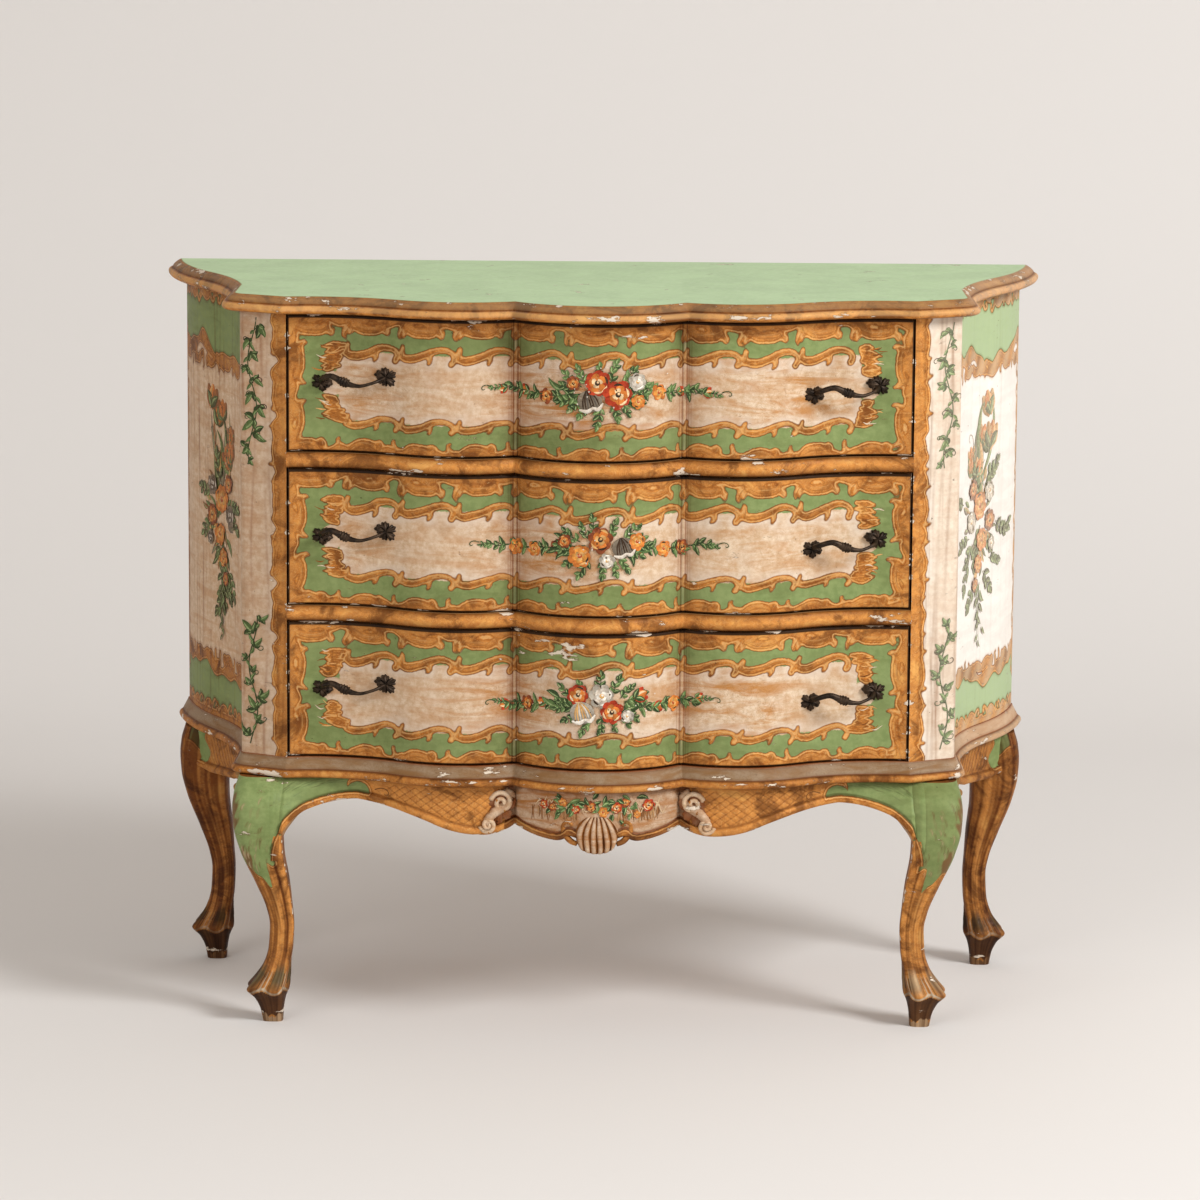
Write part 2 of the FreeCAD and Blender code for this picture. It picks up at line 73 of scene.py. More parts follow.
def lin(r, g, b):
    """Linear colour from values of 0 to 255."""
    return tuple(((v / 255 + 0.055) / 1.055) ** 2.4 if v > 10 else v / 255 / 12.92 for v in (r, g, b))


CREAM = lin(216, 190, 160)
RED = lin(178, 62, 34)
ORANGE = lin(208, 122, 54)
OCHRE = lin(216, 168, 104)
WHITE = lin(214, 204, 190)
GREY = lin(128, 116, 100)
INK = lin(62, 46, 32)
LEAF_DARK = lin(58, 78, 44)
LEAF = lin(92, 118, 68)
LEAF_LIGHT = lin(150, 170, 116)


# Plan of the case: the same lines and arcs as the solid model
def arc3(a, m, b, n):
    """The arc from a through m to b, or the straight line where they are in line."""
    t = np.linspace(0, 1, n)[:, None]
    a, m, b = (np.asarray(p, float) for p in (a, m, b))
    d = 2 * (a[0] * (m[1] - b[1]) + m[0] * (b[1] - a[1]) + b[0] * (a[1] - m[1]))
    if abs(d) < 1e-6:
        return a + (b - a) * t
    qa, qm, qb = a @ a, m @ m, b @ b
    cx = (qa * (m[1] - b[1]) + qm * (b[1] - a[1]) + qb * (a[1] - m[1])) / d
    cy = (qa * (b[0] - m[0]) + qm * (a[0] - b[0]) + qb * (m[0] - a[0])) / d
    r = np.linalg.norm(a - np.array([cx, cy]))
    a0, am, a1 = (math.atan2(p[1] - cy, p[0] - cx) for p in (a, m, b))
    turn = (a1 - a0) % (2 * math.pi)
    if (am - a0) % (2 * math.pi) > turn:
        turn -= 2 * math.pi
    ang = a0 + turn * t[:, 0]
    return np.stack([cx + r * np.cos(ang), cy + r * np.sin(ang)], 1)


class Stretch:
    """An arc of the plan: its ends a and b, its middle m, and the outward directions there."""
    def __init__(self, start, end, sagitta):
        self.a, self.b = np.array(start, float), np.array(end, float)
        run = self.b - self.a
        length = np.linalg.norm(run)
        along = run / length
        self.n = np.array([-along[1], along[0]])
        self.m = (self.a + self.b) / 2 + self.n * sagitta
        half = 2 * math.atan2(2 * sagitta, length)
        self.na = self.outward(along, half)
        self.nb = self.outward(along, -half)

    @staticmethod
    def outward(along, angle):
        c, s = math.cos(angle), math.sin(angle)
        x, y = along[0] * c - along[1] * s, along[0] * s + along[1] * c
        return np.array([-y, x])


def tangent_sagitta(before, end):
    """The rise of the arc that goes on smoothly from the stretch before."""
    run = np.array(end, float) - before.b
    length = np.linalg.norm(run)
    n = np.array([-run[1], run[0]]) / length
    h = before.nb
    return length / 2 * math.tan(math.atan2(n[0] * h[1] - n[1] * h[0], n @ h) / 2)


def make_plan():
    corners = (BACK_CORNER, NOTCH, EAR, FRONT_CORNER, TURN, CUSP)
    back, notch, ear, corner, turn, cusp = (np.array(p) for p in corners)
    mid = (back + notch) / 2
    into = (ear - notch) / np.linalg.norm(ear - notch)
    out = (corner - ear) / np.linalg.norm(corner - ear)
    half = math.acos(into @ out) / 2
    back_off = EAR_RADIUS * math.tan(half)
    ear0, ear1 = ear - into * back_off, ear + out * back_off
    hollow = Stretch(corner, turn, HOLLOW_RISE)
    return [Stretch(back, mid, OGEE_RISE), Stretch(mid, notch, -OGEE_RISE), Stretch(notch, ear0, 0),
            Stretch(ear0, ear1, EAR_RADIUS * (1 - math.cos(half))), Stretch(ear1, corner, 0), hollow,
            Stretch(turn, cusp, tangent_sagitta(hollow, cusp))]


PLAN = make_plan()
BOW = Stretch(PLAN[-1].b, PLAN[-1].b * [-1, 1], BOW_RISE)


def stretches(grow, back_grow=0.0):
    """Dense points of each stretch of the right half, moved outward by grow; the bow's half is last."""
    first = PLAN[0].na
    corners = [PLAN[0].a + [grow / first[0], 0] + np.array([-first[1], first[0]]) * (back_grow / first[0])]
    for p, q in zip(PLAN, PLAN[1:] + [BOW]):
        corners.append(p.b + (p.nb + q.na) / (1 + p.nb @ q.na) * grow)
    out = [arc3(a, s.m + s.n * grow, b, ARC_POINTS) for s, a, b in zip(PLAN, corners, corners[1:])]
    bow = arc3(corners[-1], BOW.m + BOW.n * grow, corners[-1] * [-1, 1], 2 * ARC_POINTS - 1)
    return out + [bow[:ARC_POINTS]]


def run_length(p):
    """The length along a path at each of its points."""
    return np.concatenate([[0], np.cumsum(np.linalg.norm(np.diff(p, axis=0), axis=1))])


def resample(p, n):
    s = run_length(p)
    t = np.linspace(0, s[-1], n)
    return np.stack([np.interp(t, s, p[:, k]) for k in range(p.shape[1])], 1)


def clipped(p, limit):
    """The part of a stretch with x at or below limit, cut exactly there."""
    keep = p[:, 0] <= limit
    if keep.all():
        return p
    k = int(np.argmax(keep))
    f = (p[k - 1, 0] - limit) / (p[k - 1, 0] - p[k, 0])
    return np.vstack([p[k - 1] + (p[k] - p[k - 1]) * f, p[k:]])


def chained(parts, measured, step, fewest):
    """One path from several stretches, with as many points as the measured ones need at this step."""
    counts = [max(fewest, int(round(run_length(s)[-1] / step)) + 1) for s in measured]
    even = [resample(s, n) for s, n in zip(parts, counts)]
    return np.vstack([even[0]] + [q[1:] for q in even[1:]])


def front_path(grow, limit, step, first=5):
    """Left-to-right path along the front between x = -limit and limit, the same count for every grow."""
    base, moved = ([clipped(s, limit) for s in stretches(g)[first:]] for g in (0.0, grow))
    half = chained(moved, base, step, 4)
    return np.vstack([half * [-1, 1], half[-2::-1]])


def right_path(grow, lo, hi, step, back_grow=0.0):
    """Path along stretches lo to hi-1 of the right half, from the back towards the front."""
    return chained(stretches(grow, back_grow)[lo:hi], stretches(0.0)[lo:hi], step, 3)


def around(grow, step, back_grow=0.0):
    half = right_path(grow, 0, 8, step, back_grow)
    return np.vstack([half, (half * [-1, 1])[-2::-1]])


def face_y(x):
    """The y of the case front at x."""
    p = front_path(0.0, OPENING, 1.0)
    return float(np.interp(x, p[:, 0], p[:, 1]))


# Curves and distances
def curve_through(points, n):
    """A smooth curve of n points through the given ones."""
    points = np.asarray(points, float)
    last = len(points) - 1
    out = np.zeros((n, points.shape[1]))
    for k, x in enumerate(np.linspace(0, last, n)):
        i = min(int(x), last - 1)
        f = x - i
        p0, p1, p2, p3 = points[max(i - 1, 0)], points[i], points[i + 1], points[min(i + 2, last)]
        out[k] = 0.5 * (2 * p1 + (p2 - p0) * f + (2 * p0 - 5 * p1 + 4 * p2 - p3) * f * f
                        + (3 * p1 - p0 - 3 * p2 + p3) * f ** 3)
    return out


def smooth_line(p, r):
    """A curve through the given points with matching radii."""
    p, r = np.asarray(p, float), np.asarray(r, float) * np.ones(len(p))
    if len(p) < 3:
        return p, r
    q = curve_through(np.column_stack([p, r]), 4 * (len(p) - 1) + 1)
    return q[:, :2], np.maximum(q[:, 2], 0.15)


def distance_to(line, x, y, radii=None):
    """The distance from a line that is as thick as its radii, negative inside it."""
    radii = np.zeros(len(line)) if radii is None else radii
    d = np.full(x.shape, 1e3)
    for a, b, ra, rb in zip(line, line[1:], radii, radii[1:]):
        ab = b - a
        t = np.clip(((x - a[0]) * ab[0] + (y - a[1]) * ab[1]) / max(ab @ ab, 1e-9), 0, 1)
        d = np.minimum(d, np.hypot(x - a[0] - t * ab[0], y - a[1] - t * ab[1]) - (ra + (rb - ra) * t))
    return d


def turned(points, origin, angle, scale=1.0, flip=1):
    c, s = math.cos(angle), math.sin(angle)
    p = np.asarray(points, float) * [scale, scale * flip]
    return np.column_stack([origin[0] + p[:, 0] * c - p[:, 1] * s, origin[1] + p[:, 0] * s + p[:, 1] * c])


def bell(x, width):
    """A smooth bump of height 1 at x = 0."""
    return np.exp(-(x / width) ** 2)


def share_of(x, low, high):
    """0 at low, 1 at high, and held there beyond."""
    return np.clip((x - low) / (high - low), 0, 1)


# Painted canvases: signed distances and colours on the same grid as the mesh
class Canvas:
    """Gold leaf lies where gold is below 0, and the cream ground where panel is."""
    FIELDS = ("gold", "panel", "rgb", "tone", "wear", "glaze")

    def __init__(self, u, v, panel=10.0, gold=25.0):
        self.u, self.v = u, v
        self.U, self.V = np.meshgrid(u, v)
        self.gold = np.full(self.U.shape, gold)
        self.panel = np.full(self.U.shape, panel)
        self.rgb = np.zeros(self.U.shape + (4,))
        self.tone, self.wear, self.glaze, self.relief = (np.zeros(self.U.shape) for _ in range(4))
        self.lines = []

    def reverse(self):
        """Turns the columns round, for a mesh that runs the other way."""
        for key in self.FIELDS:
            setattr(self, key, getattr(self, key)[:, ::-1])

    def near(self, p, r, pad):
        """The window of the grid round a line, and the distances in it."""
        lo, hi = p.min(0) - pad, p.max(0) + pad
        i0, i1 = np.searchsorted(self.u, [lo[0], hi[0]])
        j0, j1 = np.searchsorted(self.v, [lo[1], hi[1]])
        w = slice(j0, j1), slice(i0, i1)
        return w, distance_to(p, self.U[w], self.V[w], r)

    def gild(self, p, r):
        p, r = smooth_line(p, r)
        w, d = self.near(p, r, r.max() + 8)
        np.minimum(self.gold[w], d, out=self.gold[w])

    def brush(self, p, r, color, alpha=1.0, soft=0.55):
        p, r = smooth_line(p, r)
        w, d = self.near(p, r, r.max() + 2)
        a = np.clip(0.5 - d / (2 * soft), 0, 1) * alpha
        c = self.rgb[w]
        c[..., :3] = c[..., :3] * (1 - a[..., None]) + np.array(color) * a[..., None]
        c[..., 3] = np.maximum(c[..., 3], a)

    def lay(self, mask, color, alpha):
        """Covers the masked part with a colour."""
        self.rgb[..., :3] = np.where(mask[..., None], color, self.rgb[..., :3])
        self.rgb[..., 3] = np.where(mask, alpha, self.rgb[..., 3])

    def lay_over(self, cover, least, color):
        """Raises the covering everywhere, and colours it where it is more than least."""
        self.lay(cover > least, color, self.rgb[..., 3])
        self.rgb[..., 3] = np.maximum(self.rgb[..., 3], cover)

    def raised_gold(self, height):
        return np.where(self.gold < 0, height * (1 - np.exp(self.gold / 2.0)), 0)


# Rocaille borders: units of (share of the period, depth) points with radii, repeated along an edge
TOP_UNITS = [
    ([(.12, 10), (.25, 14), (.40, 15), (.55, 14), (.64, 11)], [6, 7, 7, 7, 5]),
    ([(.10, 12), (.06, 18), (.03, 22)], [4, 2.6, 1.3]),
    ([(.64, 12), (.70, 18), (.735, 20), (.75, 16)], [4, 2.8, 2.4, 2.2]),
    ([(1.04, 9), (.98, 14), (.945, 20), (.965, 24)], [3.2, 2.2, 1.8, 1.2])]
FOOT_UNITS = [
    ([(.08, 4), (.20, 7), (.32, 8), (.44, 6.5), (.50, 4)], [4.5, 5.5, 5.5, 5.5, 4.5]),
    ([(.50, 7), (.56, 10), (.605, 8), (.585, 5)], [3, 3.2, 3.4, 3]),
    ([(.90, 1), (.865, 7), (.84, 12), (.87, 14.5)], [3, 2.2, 1.8, 1]),
    ([(.95, 2), (.97, 2)], [4.5, 4.5])]
SIDE_UNITS = [
    ([(.15, 10), (.30, 14), (.5, 14.5), (.62, 12)], [5.5] * 4),
    ([(.12, 10), (.05, 17), (.02, 22)], [4, 2.6, 1.2]),
    ([(.66, 12), (.72, 19), (.70, 23)], [4, 2.4, 1.2])]
RIBBON_UNITS = [
    ([(-.02, -1.5), (.10, -4.5), (.25, -4), (.42, -.5), (.58, 4), (.74, 6), (.88, 4), (.95, -1), (.93, -5.5)],
     [2.2, 4.2, 4.4, 4, 3.6, 3.2, 2.8, 2.6, 3]),
    ([(.90, -7.5), (.905, -7.5)], [3.2, 3.2]),
    ([(.02, -3), (.03, 3), (.05, 7.5)], [3.2, 2.6, 2.4]),
    ([(.52, 1), (.55, -5), (.50, -9.5)], [3.2, 2.2, 1.4])]
LOBE_UNITS = [
    ([(.10, 5), (.26, 12), (.44, 14), (.60, 9)], [6, 7.5, 7.5, 5]),
    ([(.58, 8), (.68, 15.5), (.77, 21.5), (.86, 21), (.89, 16.5), (.845, 14.5)],
     [4.2, 3.4, 2.8, 2.4, 2.4, 3.0]),
    ([(.08, 6), (.05, 14), (-.02, 19.5), (-.075, 20)], [4.4, 2.8, 1.5, 0.7]),
    ([(.94, 4), (.945, 8)], [6.5, 5.0])]


def along_edge(c, units, start, end, inward, period, rng, depth=1.0, base=None, flip_odds=0.0):
    """Gilds units along the line from start to end; inward is the direction of positive depth."""
    start, end, inward = (np.array(p, float) for p in (start, end, inward))
    run = np.linalg.norm(end - start)
    count = max(1, int(round(run / period)))
    way = (end - start) / run
    pitch = run / count
    for k in range(count):
        flip = rng.random() < flip_odds
        deep = depth * rng.uniform(0.88, 1.12)
        size = rng.uniform(0.92, 1.08)
        for points, radii in units:
            p = []
            for s, d in points:
                s = 1 - s if flip else s
                jitter = rng.normal(0, 0.45, 2)
                p.append(start + way * (pitch * (k + s) + jitter[0]) + inward * (d * deep + jitter[1]))
            c.gild(p, np.array(radii) * depth * size)
            c.lines.append(np.array(p))
    if base is not None:
        c.gild([start, (start + end) / 2, end], [base] * 3)


def scallop(t, seed):
    """The uneven edge of a hand-painted band."""
    return 2.8 * np.sin(t / 4.9 + seed) + 2.0 * np.sin(t / 9.7 + 2 * seed)


def softened(field, passes):
    """Rounds the corners of a field and closes its narrow gaps."""
    for _ in range(passes):
        f = np.pad(field, 1, mode="edge")
        field = (f[:-2, 1:-1] + f[2:, 1:-1] + f[1:-1, :-2] + f[1:-1, 2:] + 4 * field) / 8
    return field


# Colours of the painted shade line and the painted highlight line along the scrolls, then two more; all four
# also colour short brush marks
SCROLL_SHADE_LIGHT_AND_MARKS = (lin(104, 56, 20), lin(236, 192, 128), lin(140, 78, 28), lin(214, 160, 92))


def engrave_with_painted_light(c, seed, count):
    """Carved lines along the scrolls, drawn dark below right and pale above left as if lit from the upper
    left, which is painted shade and painted highlight, and short brush marks on the gold.
    """
    rng = np.random.default_rng(seed)
    gold, kept = c.gold < 0, c.rgb.copy()
    c.rgb[gold, :3] = lin(178, 112, 46)
    for p in c.lines:
        width = np.interp(np.arange(len(p)), [0, (len(p) - 1) / 2, len(p) - 1], [0.3, 0.9, 0.3])
        # Painted shade below right and painted highlight above left of each scroll line
        c.brush(p + (1.2, -2.0), width, SCROLL_SHADE_LIGHT_AND_MARKS[0], 0.70)
        c.brush(p + (-0.6, 1.6), 0.8 * width, SCROLL_SHADE_LIGHT_AND_MARKS[1], 0.62)
    inside = np.argwhere(c.gold < -2.2)
    mark = [(-5, 0), (0, 1.8), (5, 0)]
    for k in range(count):
        j, i = inside[rng.integers(len(inside))]
        p = turned(mark, (c.u[i], c.v[j]), rng.normal(0, 0.6), rng.uniform(0.5, 1.3), rng.choice((-1, 1)))
        c.brush(p, [0.25, 0.7, 0.25], SCROLL_SHADE_LIGHT_AND_MARKS[k % 4], 0.62)
    c.rgb[~gold] = kept[~gold]


# Painted decoration of a drawer front, measured along the front from its middle
CUSP_U = 114.5
RIBBON_LOW = 37
RIBBON_DOWN = 44
RIBBON_INSET = 70
PANEL_INSET = 60
PANEL_LOW = 38
PULL_PATCH = (54, 83, 15)
LEAF_FANS = (((68, 130), (59, 101), (44, 128), (43, 102)), ((72, 37), (60, 64), (45, 40), (46, 64)))
FAN_LEAVES = 9


def drawer_borders(c, rng):
    """The gilt borders: a row above and below, ribbons inside them, and a row at each end."""
    end, high = c.u[-1], c.v[-1]
    for a, b in ((-end, -CUSP_U), (-CUSP_U, CUSP_U), (CUSP_U, end)):
        along_edge(c, TOP_UNITS, (a, high), (b, high), (0, -1), 71, rng, 1.14, 9.0)
        along_edge(c, FOOT_UNITS, (a, 0), (b, 0), (0, 1), 71, rng, 1.22, 4.5)
        x0 = a + (RIBBON_INSET if a == -end else 0)
        x1 = b - (RIBBON_INSET if b == end else 0)
        for level, depth in ((high - RIBBON_DOWN, 1.18), (RIBBON_LOW, 1.0)):
            along_edge(c, RIBBON_UNITS, (x0, level), (x1, level), (0, 1), 72, rng, depth)
    for side in (-1, 1):
        along_edge(c, SIDE_UNITS, (side * end, 10), (side * end, high - 14), (-side, 0), 69, rng, 1.12, 8.5)
    c.gold = softened(c.gold, 8) - 0.5


def leaf_fan(c, side, fan, rng):
    """Gilt leaves side by side from a root line to a tip line beside the pull."""
    root0, root1, tip0, tip1 = (np.array(p) for p in fan)
    for t in np.linspace(0, 1, FAN_LEAVES):
        e0, v0 = root0 + (root1 - root0) * t
        e1, v1 = tip0 + (tip1 - tip0) * t
        e0, e1, v1 = e0 + rng.uniform(-6, 3), e1 - rng.uniform(-5, 5), v1 + rng.normal(0, 2.5)
        middle = ((e0 + e1) / 2, (v0 + v1) / 2 + rng.normal(0, 1.2))
        p = [(side * (c.u[-1] - e), y) for e, y in ((e0, v0), middle, (e1, v1))]
        c.gild(p, [rng.uniform(2.6, 4.4), rng.uniform(4.2, 5.2), 1.2])


def drawer_glaze(c, name, seed, edge, off):
    """Tone, glaze and wear of the ground, with painted shade in the tone; off is the distance past a cusp."""
    # Painted shade: darker in the hollows just outside each cusp bead and along the edges of the front
    c.tone = 0.55 * bell(np.abs(off) - 3.4, 0.9) + 0.30 * np.exp(-edge / 3.0)
    for k in (-8.0, 6.5, 9.5):
        c.tone += 0.30 * bell(off - k, 0.7)
    # Painted shade: darker broadly about each cusp and over the left half of the front
    c.tone += 0.26 * bell(off, 20.0) + np.where(c.U < 0, 0.10, 0.0) + 0.10
    patch_glaze = -0.3 if name == "middle" else 0.2
    c.glaze = 0.62 + 0.25 * np.sin(c.U / 47 + seed) + patch_glaze * bell(c.U - 190, 80)
    c.glaze += (0.45 if name == "upper" else 0.15) * bell(c.U, 105.0)
    c.tone += (0.14 if name == "upper" else 0.04) * bell(c.U, 120.0)
    c.wear = 0.75 * np.exp(-edge / 3.0)
    if name == "lower":
        patch = np.exp(-(((c.U + 50) / 42) ** 2 + ((c.V - c.v[-1] + 22) / 20) ** 2))
        c.wear = np.maximum(c.wear, patch * 1.05)


def drawer_canvas(name, u, v, seed):
    c = Canvas(u, v)
    rng = np.random.default_rng(seed)
    high = v[-1]
    inset = u[-1] - np.abs(c.U)
    edge = np.minimum(inset, np.minimum(c.V, high - c.V))
    levels = np.maximum(PANEL_LOW - c.V, c.V - (high - RIBBON_DOWN))
    body = np.maximum(PANEL_INSET - inset + 3 * np.sin(c.V / 6.0 + seed), levels)
    c.panel = np.minimum(body, np.hypot(inset - PULL_PATCH[0], c.V - PULL_PATCH[1]) - PULL_PATCH[2])
    c.gold = np.minimum(np.minimum(high - c.V - 11.5, c.V - 7.5) - 0.8 * scallop(c.U, seed),
                        inset - 12.0 - scallop(c.V, seed + 2))
    drawer_borders(c, rng)
    for side in (-1, 1):
        for fan in LEAF_FANS:
            leaf_fan(c, side, fan, rng)
    off = np.abs(c.U) - CUSP_U
    c.relief += 2.2 * np.sqrt(np.clip(1 - (off / 2.6) ** 2, 0, 1))
    c.relief += c.raised_gold(0.40)
    c.relief -= 1.6 * np.clip(1 - edge / 2.2, 0, 1) ** 2
    drawer_glaze(c, name, seed, edge, off)
    blot = np.sin(c.U / 17.0 + seed) * np.sin(c.V / 9.0 + 2.0 * seed) + np.sin(c.U / 7.3) * 0.5
    haze = np.clip(0.62 * np.exp(-np.maximum(c.gold, 0) / 6.0) + 0.10 * blot, 0, 0.6)
    c.rgb[..., :3] = lin(226, 214, 200)
    c.rgb[..., 3] = haze * np.clip(-c.panel / 3, 0, 1) * np.clip(c.gold / 1.2, 0, 1)
    # Painted highlight: a pale glint down each cusp bead
    c.lay_over(0.55 * bell(off, 1.3) * (0.6 + 0.4 * np.sin(c.V / 11 + seed)), 0.12, lin(228, 204, 168))
    engrave_with_painted_light(c, seed + 300, 150)
    # Painted shadow: near-black bands along every edge of the front, wider at the top under the rail above
    c.rgb[(edge < 2.2) | (high - c.V < 4.2)] = lin(30, 18, 9) + (0.94,)
    return c


# Meshes
def new_object(name, verts, faces, material):
    mesh = bpy.data.meshes.new(name)
    mesh.from_pydata((np.asarray(verts) * METRE).tolist(), [], faces)
    mesh.validate()
    obj = bpy.data.objects.new(name, mesh)
    bpy.context.scene.collection.objects.link(obj)
    mesh.materials.append(material)
    mesh.polygons.foreach_set("use_smooth", np.ones(len(mesh.polygons), bool))
    return obj


def quads(rows, cols, start=0, flip=False):
    i = np.arange(rows * cols).reshape(rows, cols) + start
    a, b, c, d = i[:-1, :-1], i[:-1, 1:], i[1:, 1:], i[1:, :-1]
    q = np.stack([a, b, c, d] if not flip else [a, d, c, b], -1).reshape(-1, 4)
    return q.tolist()


def tube_faces(rings, sides):
    """Walls between closed rings of points, and a lid on the first ring."""
    faces = []
    for k in range(rings - 1):
        for s in range(sides):
            n = (s + 1) % sides
            faces.append((k * sides + s, k * sides + n, (k + 1) * sides + n, (k + 1) * sides + s))
    return faces + [list(range(sides))[::-1]]


def level_path(path, z):
    """A plan path lifted to the height z."""
    return np.column_stack([path, np.broadcast_to(z, len(path))])


def face_grid(path, lift, relief, z, flip=(1.0, 1.0)):
    """Points of a face that follows a plan path and stands out by its relief."""
    grid = np.zeros(relief.shape + (3,))
    grid[..., :2] = (path[None] + lift[None] * relief[..., None]) * np.array(flip)
    grid[..., 2] = z
    return grid


def put_attribute(mesh, name, values):
    values = np.asarray(values, np.float32)
    if values.ndim == 1:
        mesh.attributes.new(name, "FLOAT", "POINT").data.foreach_set("value", values)
    else:
        mesh.attributes.new(name, "FLOAT_COLOR", "POINT").data.foreach_set("color", values.ravel())


def put_uv(mesh, uv):
    layer = mesh.uv_layers.new(name="OFBake")
    index = np.zeros(len(mesh.loops), np.int32)
    mesh.loops.foreach_get("vertex_index", index)
    layer.data.foreach_set("uv", np.asarray(uv, np.float32)[index].ravel())


def uv_grid(us, vs):
    return np.stack(np.meshgrid(us, vs), -1).reshape(-1, 2)


def dress(obj, fields, nodes, body):
    """Gives a mesh its painted fields, hides the nodes that it stands in for and puts it on its body."""
    for key, values in fields.items():
        put_attribute(obj.data, key, values)
    if nodes:
        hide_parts(*nodes)
    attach(obj, body)


def canvas_fields(c, rest, rest_gold, rest_trim):
    """The fields of a canvas, followed by plain values for the points that it doesn't cover."""
    trim = np.stack([c.tone, c.wear, c.glaze, np.zeros_like(c.tone)], -1).reshape(-1, 4)
    return {"gold": np.concatenate([c.gold.ravel(), np.full(rest, rest_gold)]),
            "panel": np.concatenate([c.panel.ravel(), np.full(rest, 8.0)]),
            "paint": np.vstack([c.rgb.reshape(-1, 4), np.zeros((rest, 4))]),
            "trim": np.vstack([trim, np.tile(rest_trim, (rest, 1))])}


def painted_piece(name, body, nodes, grid, c, inner):
    """A mesh from a dense painted grid, closed behind by plain walls that run to the inner path."""
    rows, cols = grid.shape[:2]
    low, high = inner
    run = np.linspace(0.01, 0.99, cols)
    sheets = [(grid, uv_grid(run, np.linspace(0.14, 0.99, rows)))]
    walls = (np.stack([low, grid[0]]), np.stack([high, grid[-1]]), np.stack([low, high])[:, ::-1])
    for k, wall in enumerate(walls):
        sheets.append((wall, uv_grid(run, [0.01 + 0.025 * k, 0.03 + 0.025 * k])))
    t = np.linspace(0, 1, rows)[:, None]
    left, right = (low[k] + (high[k] - low[k]) * t for k in (0, -1))
    for k, ends in enumerate(((left, grid[:, 0]), (grid[:, -1], right))):
        uv = uv_grid([0.09 + 0.02 * k, 0.105 + 0.02 * k], np.linspace(0.0, 0.13, rows))
        sheets.append((np.stack(ends, 1), uv[:, ::-1]))
    faces, count = [], 0
    for sheet, _ in sheets:
        faces += quads(*sheet.shape[:2], count)
        count += sheet.shape[0] * sheet.shape[1]
    obj = new_object(name, np.vstack([sheet.reshape(-1, 3) for sheet, _ in sheets]), faces, PAINTED)
    put_uv(obj.data, np.vstack([uv for _, uv in sheets]))
    dress(obj, canvas_fields(c, count - rows * cols, 8.0, (0.2, 0.0, 0.5, 1.0)), nodes, body)


# Shading
class Nodes:
    """A material and short ways to add its nodes."""
    def __init__(self, name):
        self.mat = bpy.data.materials.new(name)
        self.mat.use_nodes = True
        self.tree = self.mat.node_tree
        self.bsdf = self.tree.nodes["Principled BSDF"]
        self.coord = None

    def add(self, kind, **values):
        node = self.tree.nodes.new(kind)
        for key, value in values.items():
            setattr(node, key, value)
        return node

    def link(self, value, socket):
        if hasattr(value, "is_linked"):
            self.tree.links.new(value, socket)
            return
        wide = len(socket.default_value) if hasattr(socket.default_value, "__len__") else 0
        if wide and not hasattr(value, "__len__"):
            value = (value, value, value)
        if wide == 4 and len(value) == 3:
            value = tuple(value) + (1.0,)
        socket.default_value = value

    def math(self, op, a, b=0.0, clamp=False):
        n = self.add("ShaderNodeMath", operation=op, use_clamp=clamp)
        self.link(a, n.inputs[0])
        self.link(b, n.inputs[1])
        return n.outputs[0]

    def times(self, a, b):
        return self.math("MULTIPLY", a, b)

    def from_level(self, value, level):
        """How far a value is from a level."""
        return self.math("ABSOLUTE", self.math("SUBTRACT", value, level))

    def ramp(self, value, a, b, c=0.0, d=1.0):
        n = self.add("ShaderNodeMapRange", interpolation_type="SMOOTHSTEP", clamp=True)
        for k, x in enumerate((value, a, b, c, d)):
            self.link(x, n.inputs[k])
        return n.outputs[0]

    def mix(self, fac, a, b, blend="MIX"):
        n = self.add("ShaderNodeMix", data_type="RGBA", blend_type=blend)
        self.link(fac, n.inputs[0])
        self.link(a, n.inputs[6])
        self.link(b, n.inputs[7])
        return n.outputs[2]

    def attribute(self, name):
        return self.add("ShaderNodeAttribute", attribute_name=name)

    def stretch(self, scale):
        if self.coord is None:
            self.coord = self.add("ShaderNodeTexCoord").outputs["Object"]
        n = self.add("ShaderNodeVectorMath", operation="MULTIPLY")
        self.link(self.coord, n.inputs[0])
        self.link(scale, n.inputs[1])
        return n.outputs[0]

    def noise(self, scale, detail=4.0, rough=0.55, stretch=(1, 1, 1), distort=0.0):
        n = self.add("ShaderNodeTexNoise")
        self.link(self.stretch(stretch), n.inputs["Vector"])
        settings = {"Scale": scale, "Detail": detail, "Roughness": rough, "Distortion": distort}
        for key, value in settings.items():
            self.link(value, n.inputs[key])
        return n.outputs["Fac"]

    def bump(self, height, strength, distance):
        n = self.add("ShaderNodeBump")
        self.link(strength, n.inputs["Strength"])
        self.link(distance, n.inputs["Distance"])
        self.link(height, n.inputs["Height"])
        self.tree.links.new(n.outputs["Normal"], self.bsdf.inputs["Normal"])

    def finish(self, color, rough, metal=0.0, spec=0.4):
        self.link(color, self.bsdf.inputs["Base Color"])
        self.link(rough, self.bsdf.inputs["Roughness"])
        self.link(metal, self.bsdf.inputs["Metallic"])
        self.link(spec, self.bsdf.inputs["Specular IOR Level"])
        return self.mat


def green_ground(n, fine, streak):
    cloud = n.noise(9, 5, 0.6)
    green = n.mix(n.ramp(fine, 0.3, 0.7), lin(120, 138, 84), lin(138, 154, 98))
    green = n.mix(n.ramp(streak, 0.40, 0.72, 0, 0.6), green, lin(104, 116, 66))
    return n.mix(n.ramp(cloud, 0.42, 0.75, 0, 0.30), green, lin(152, 168, 114))


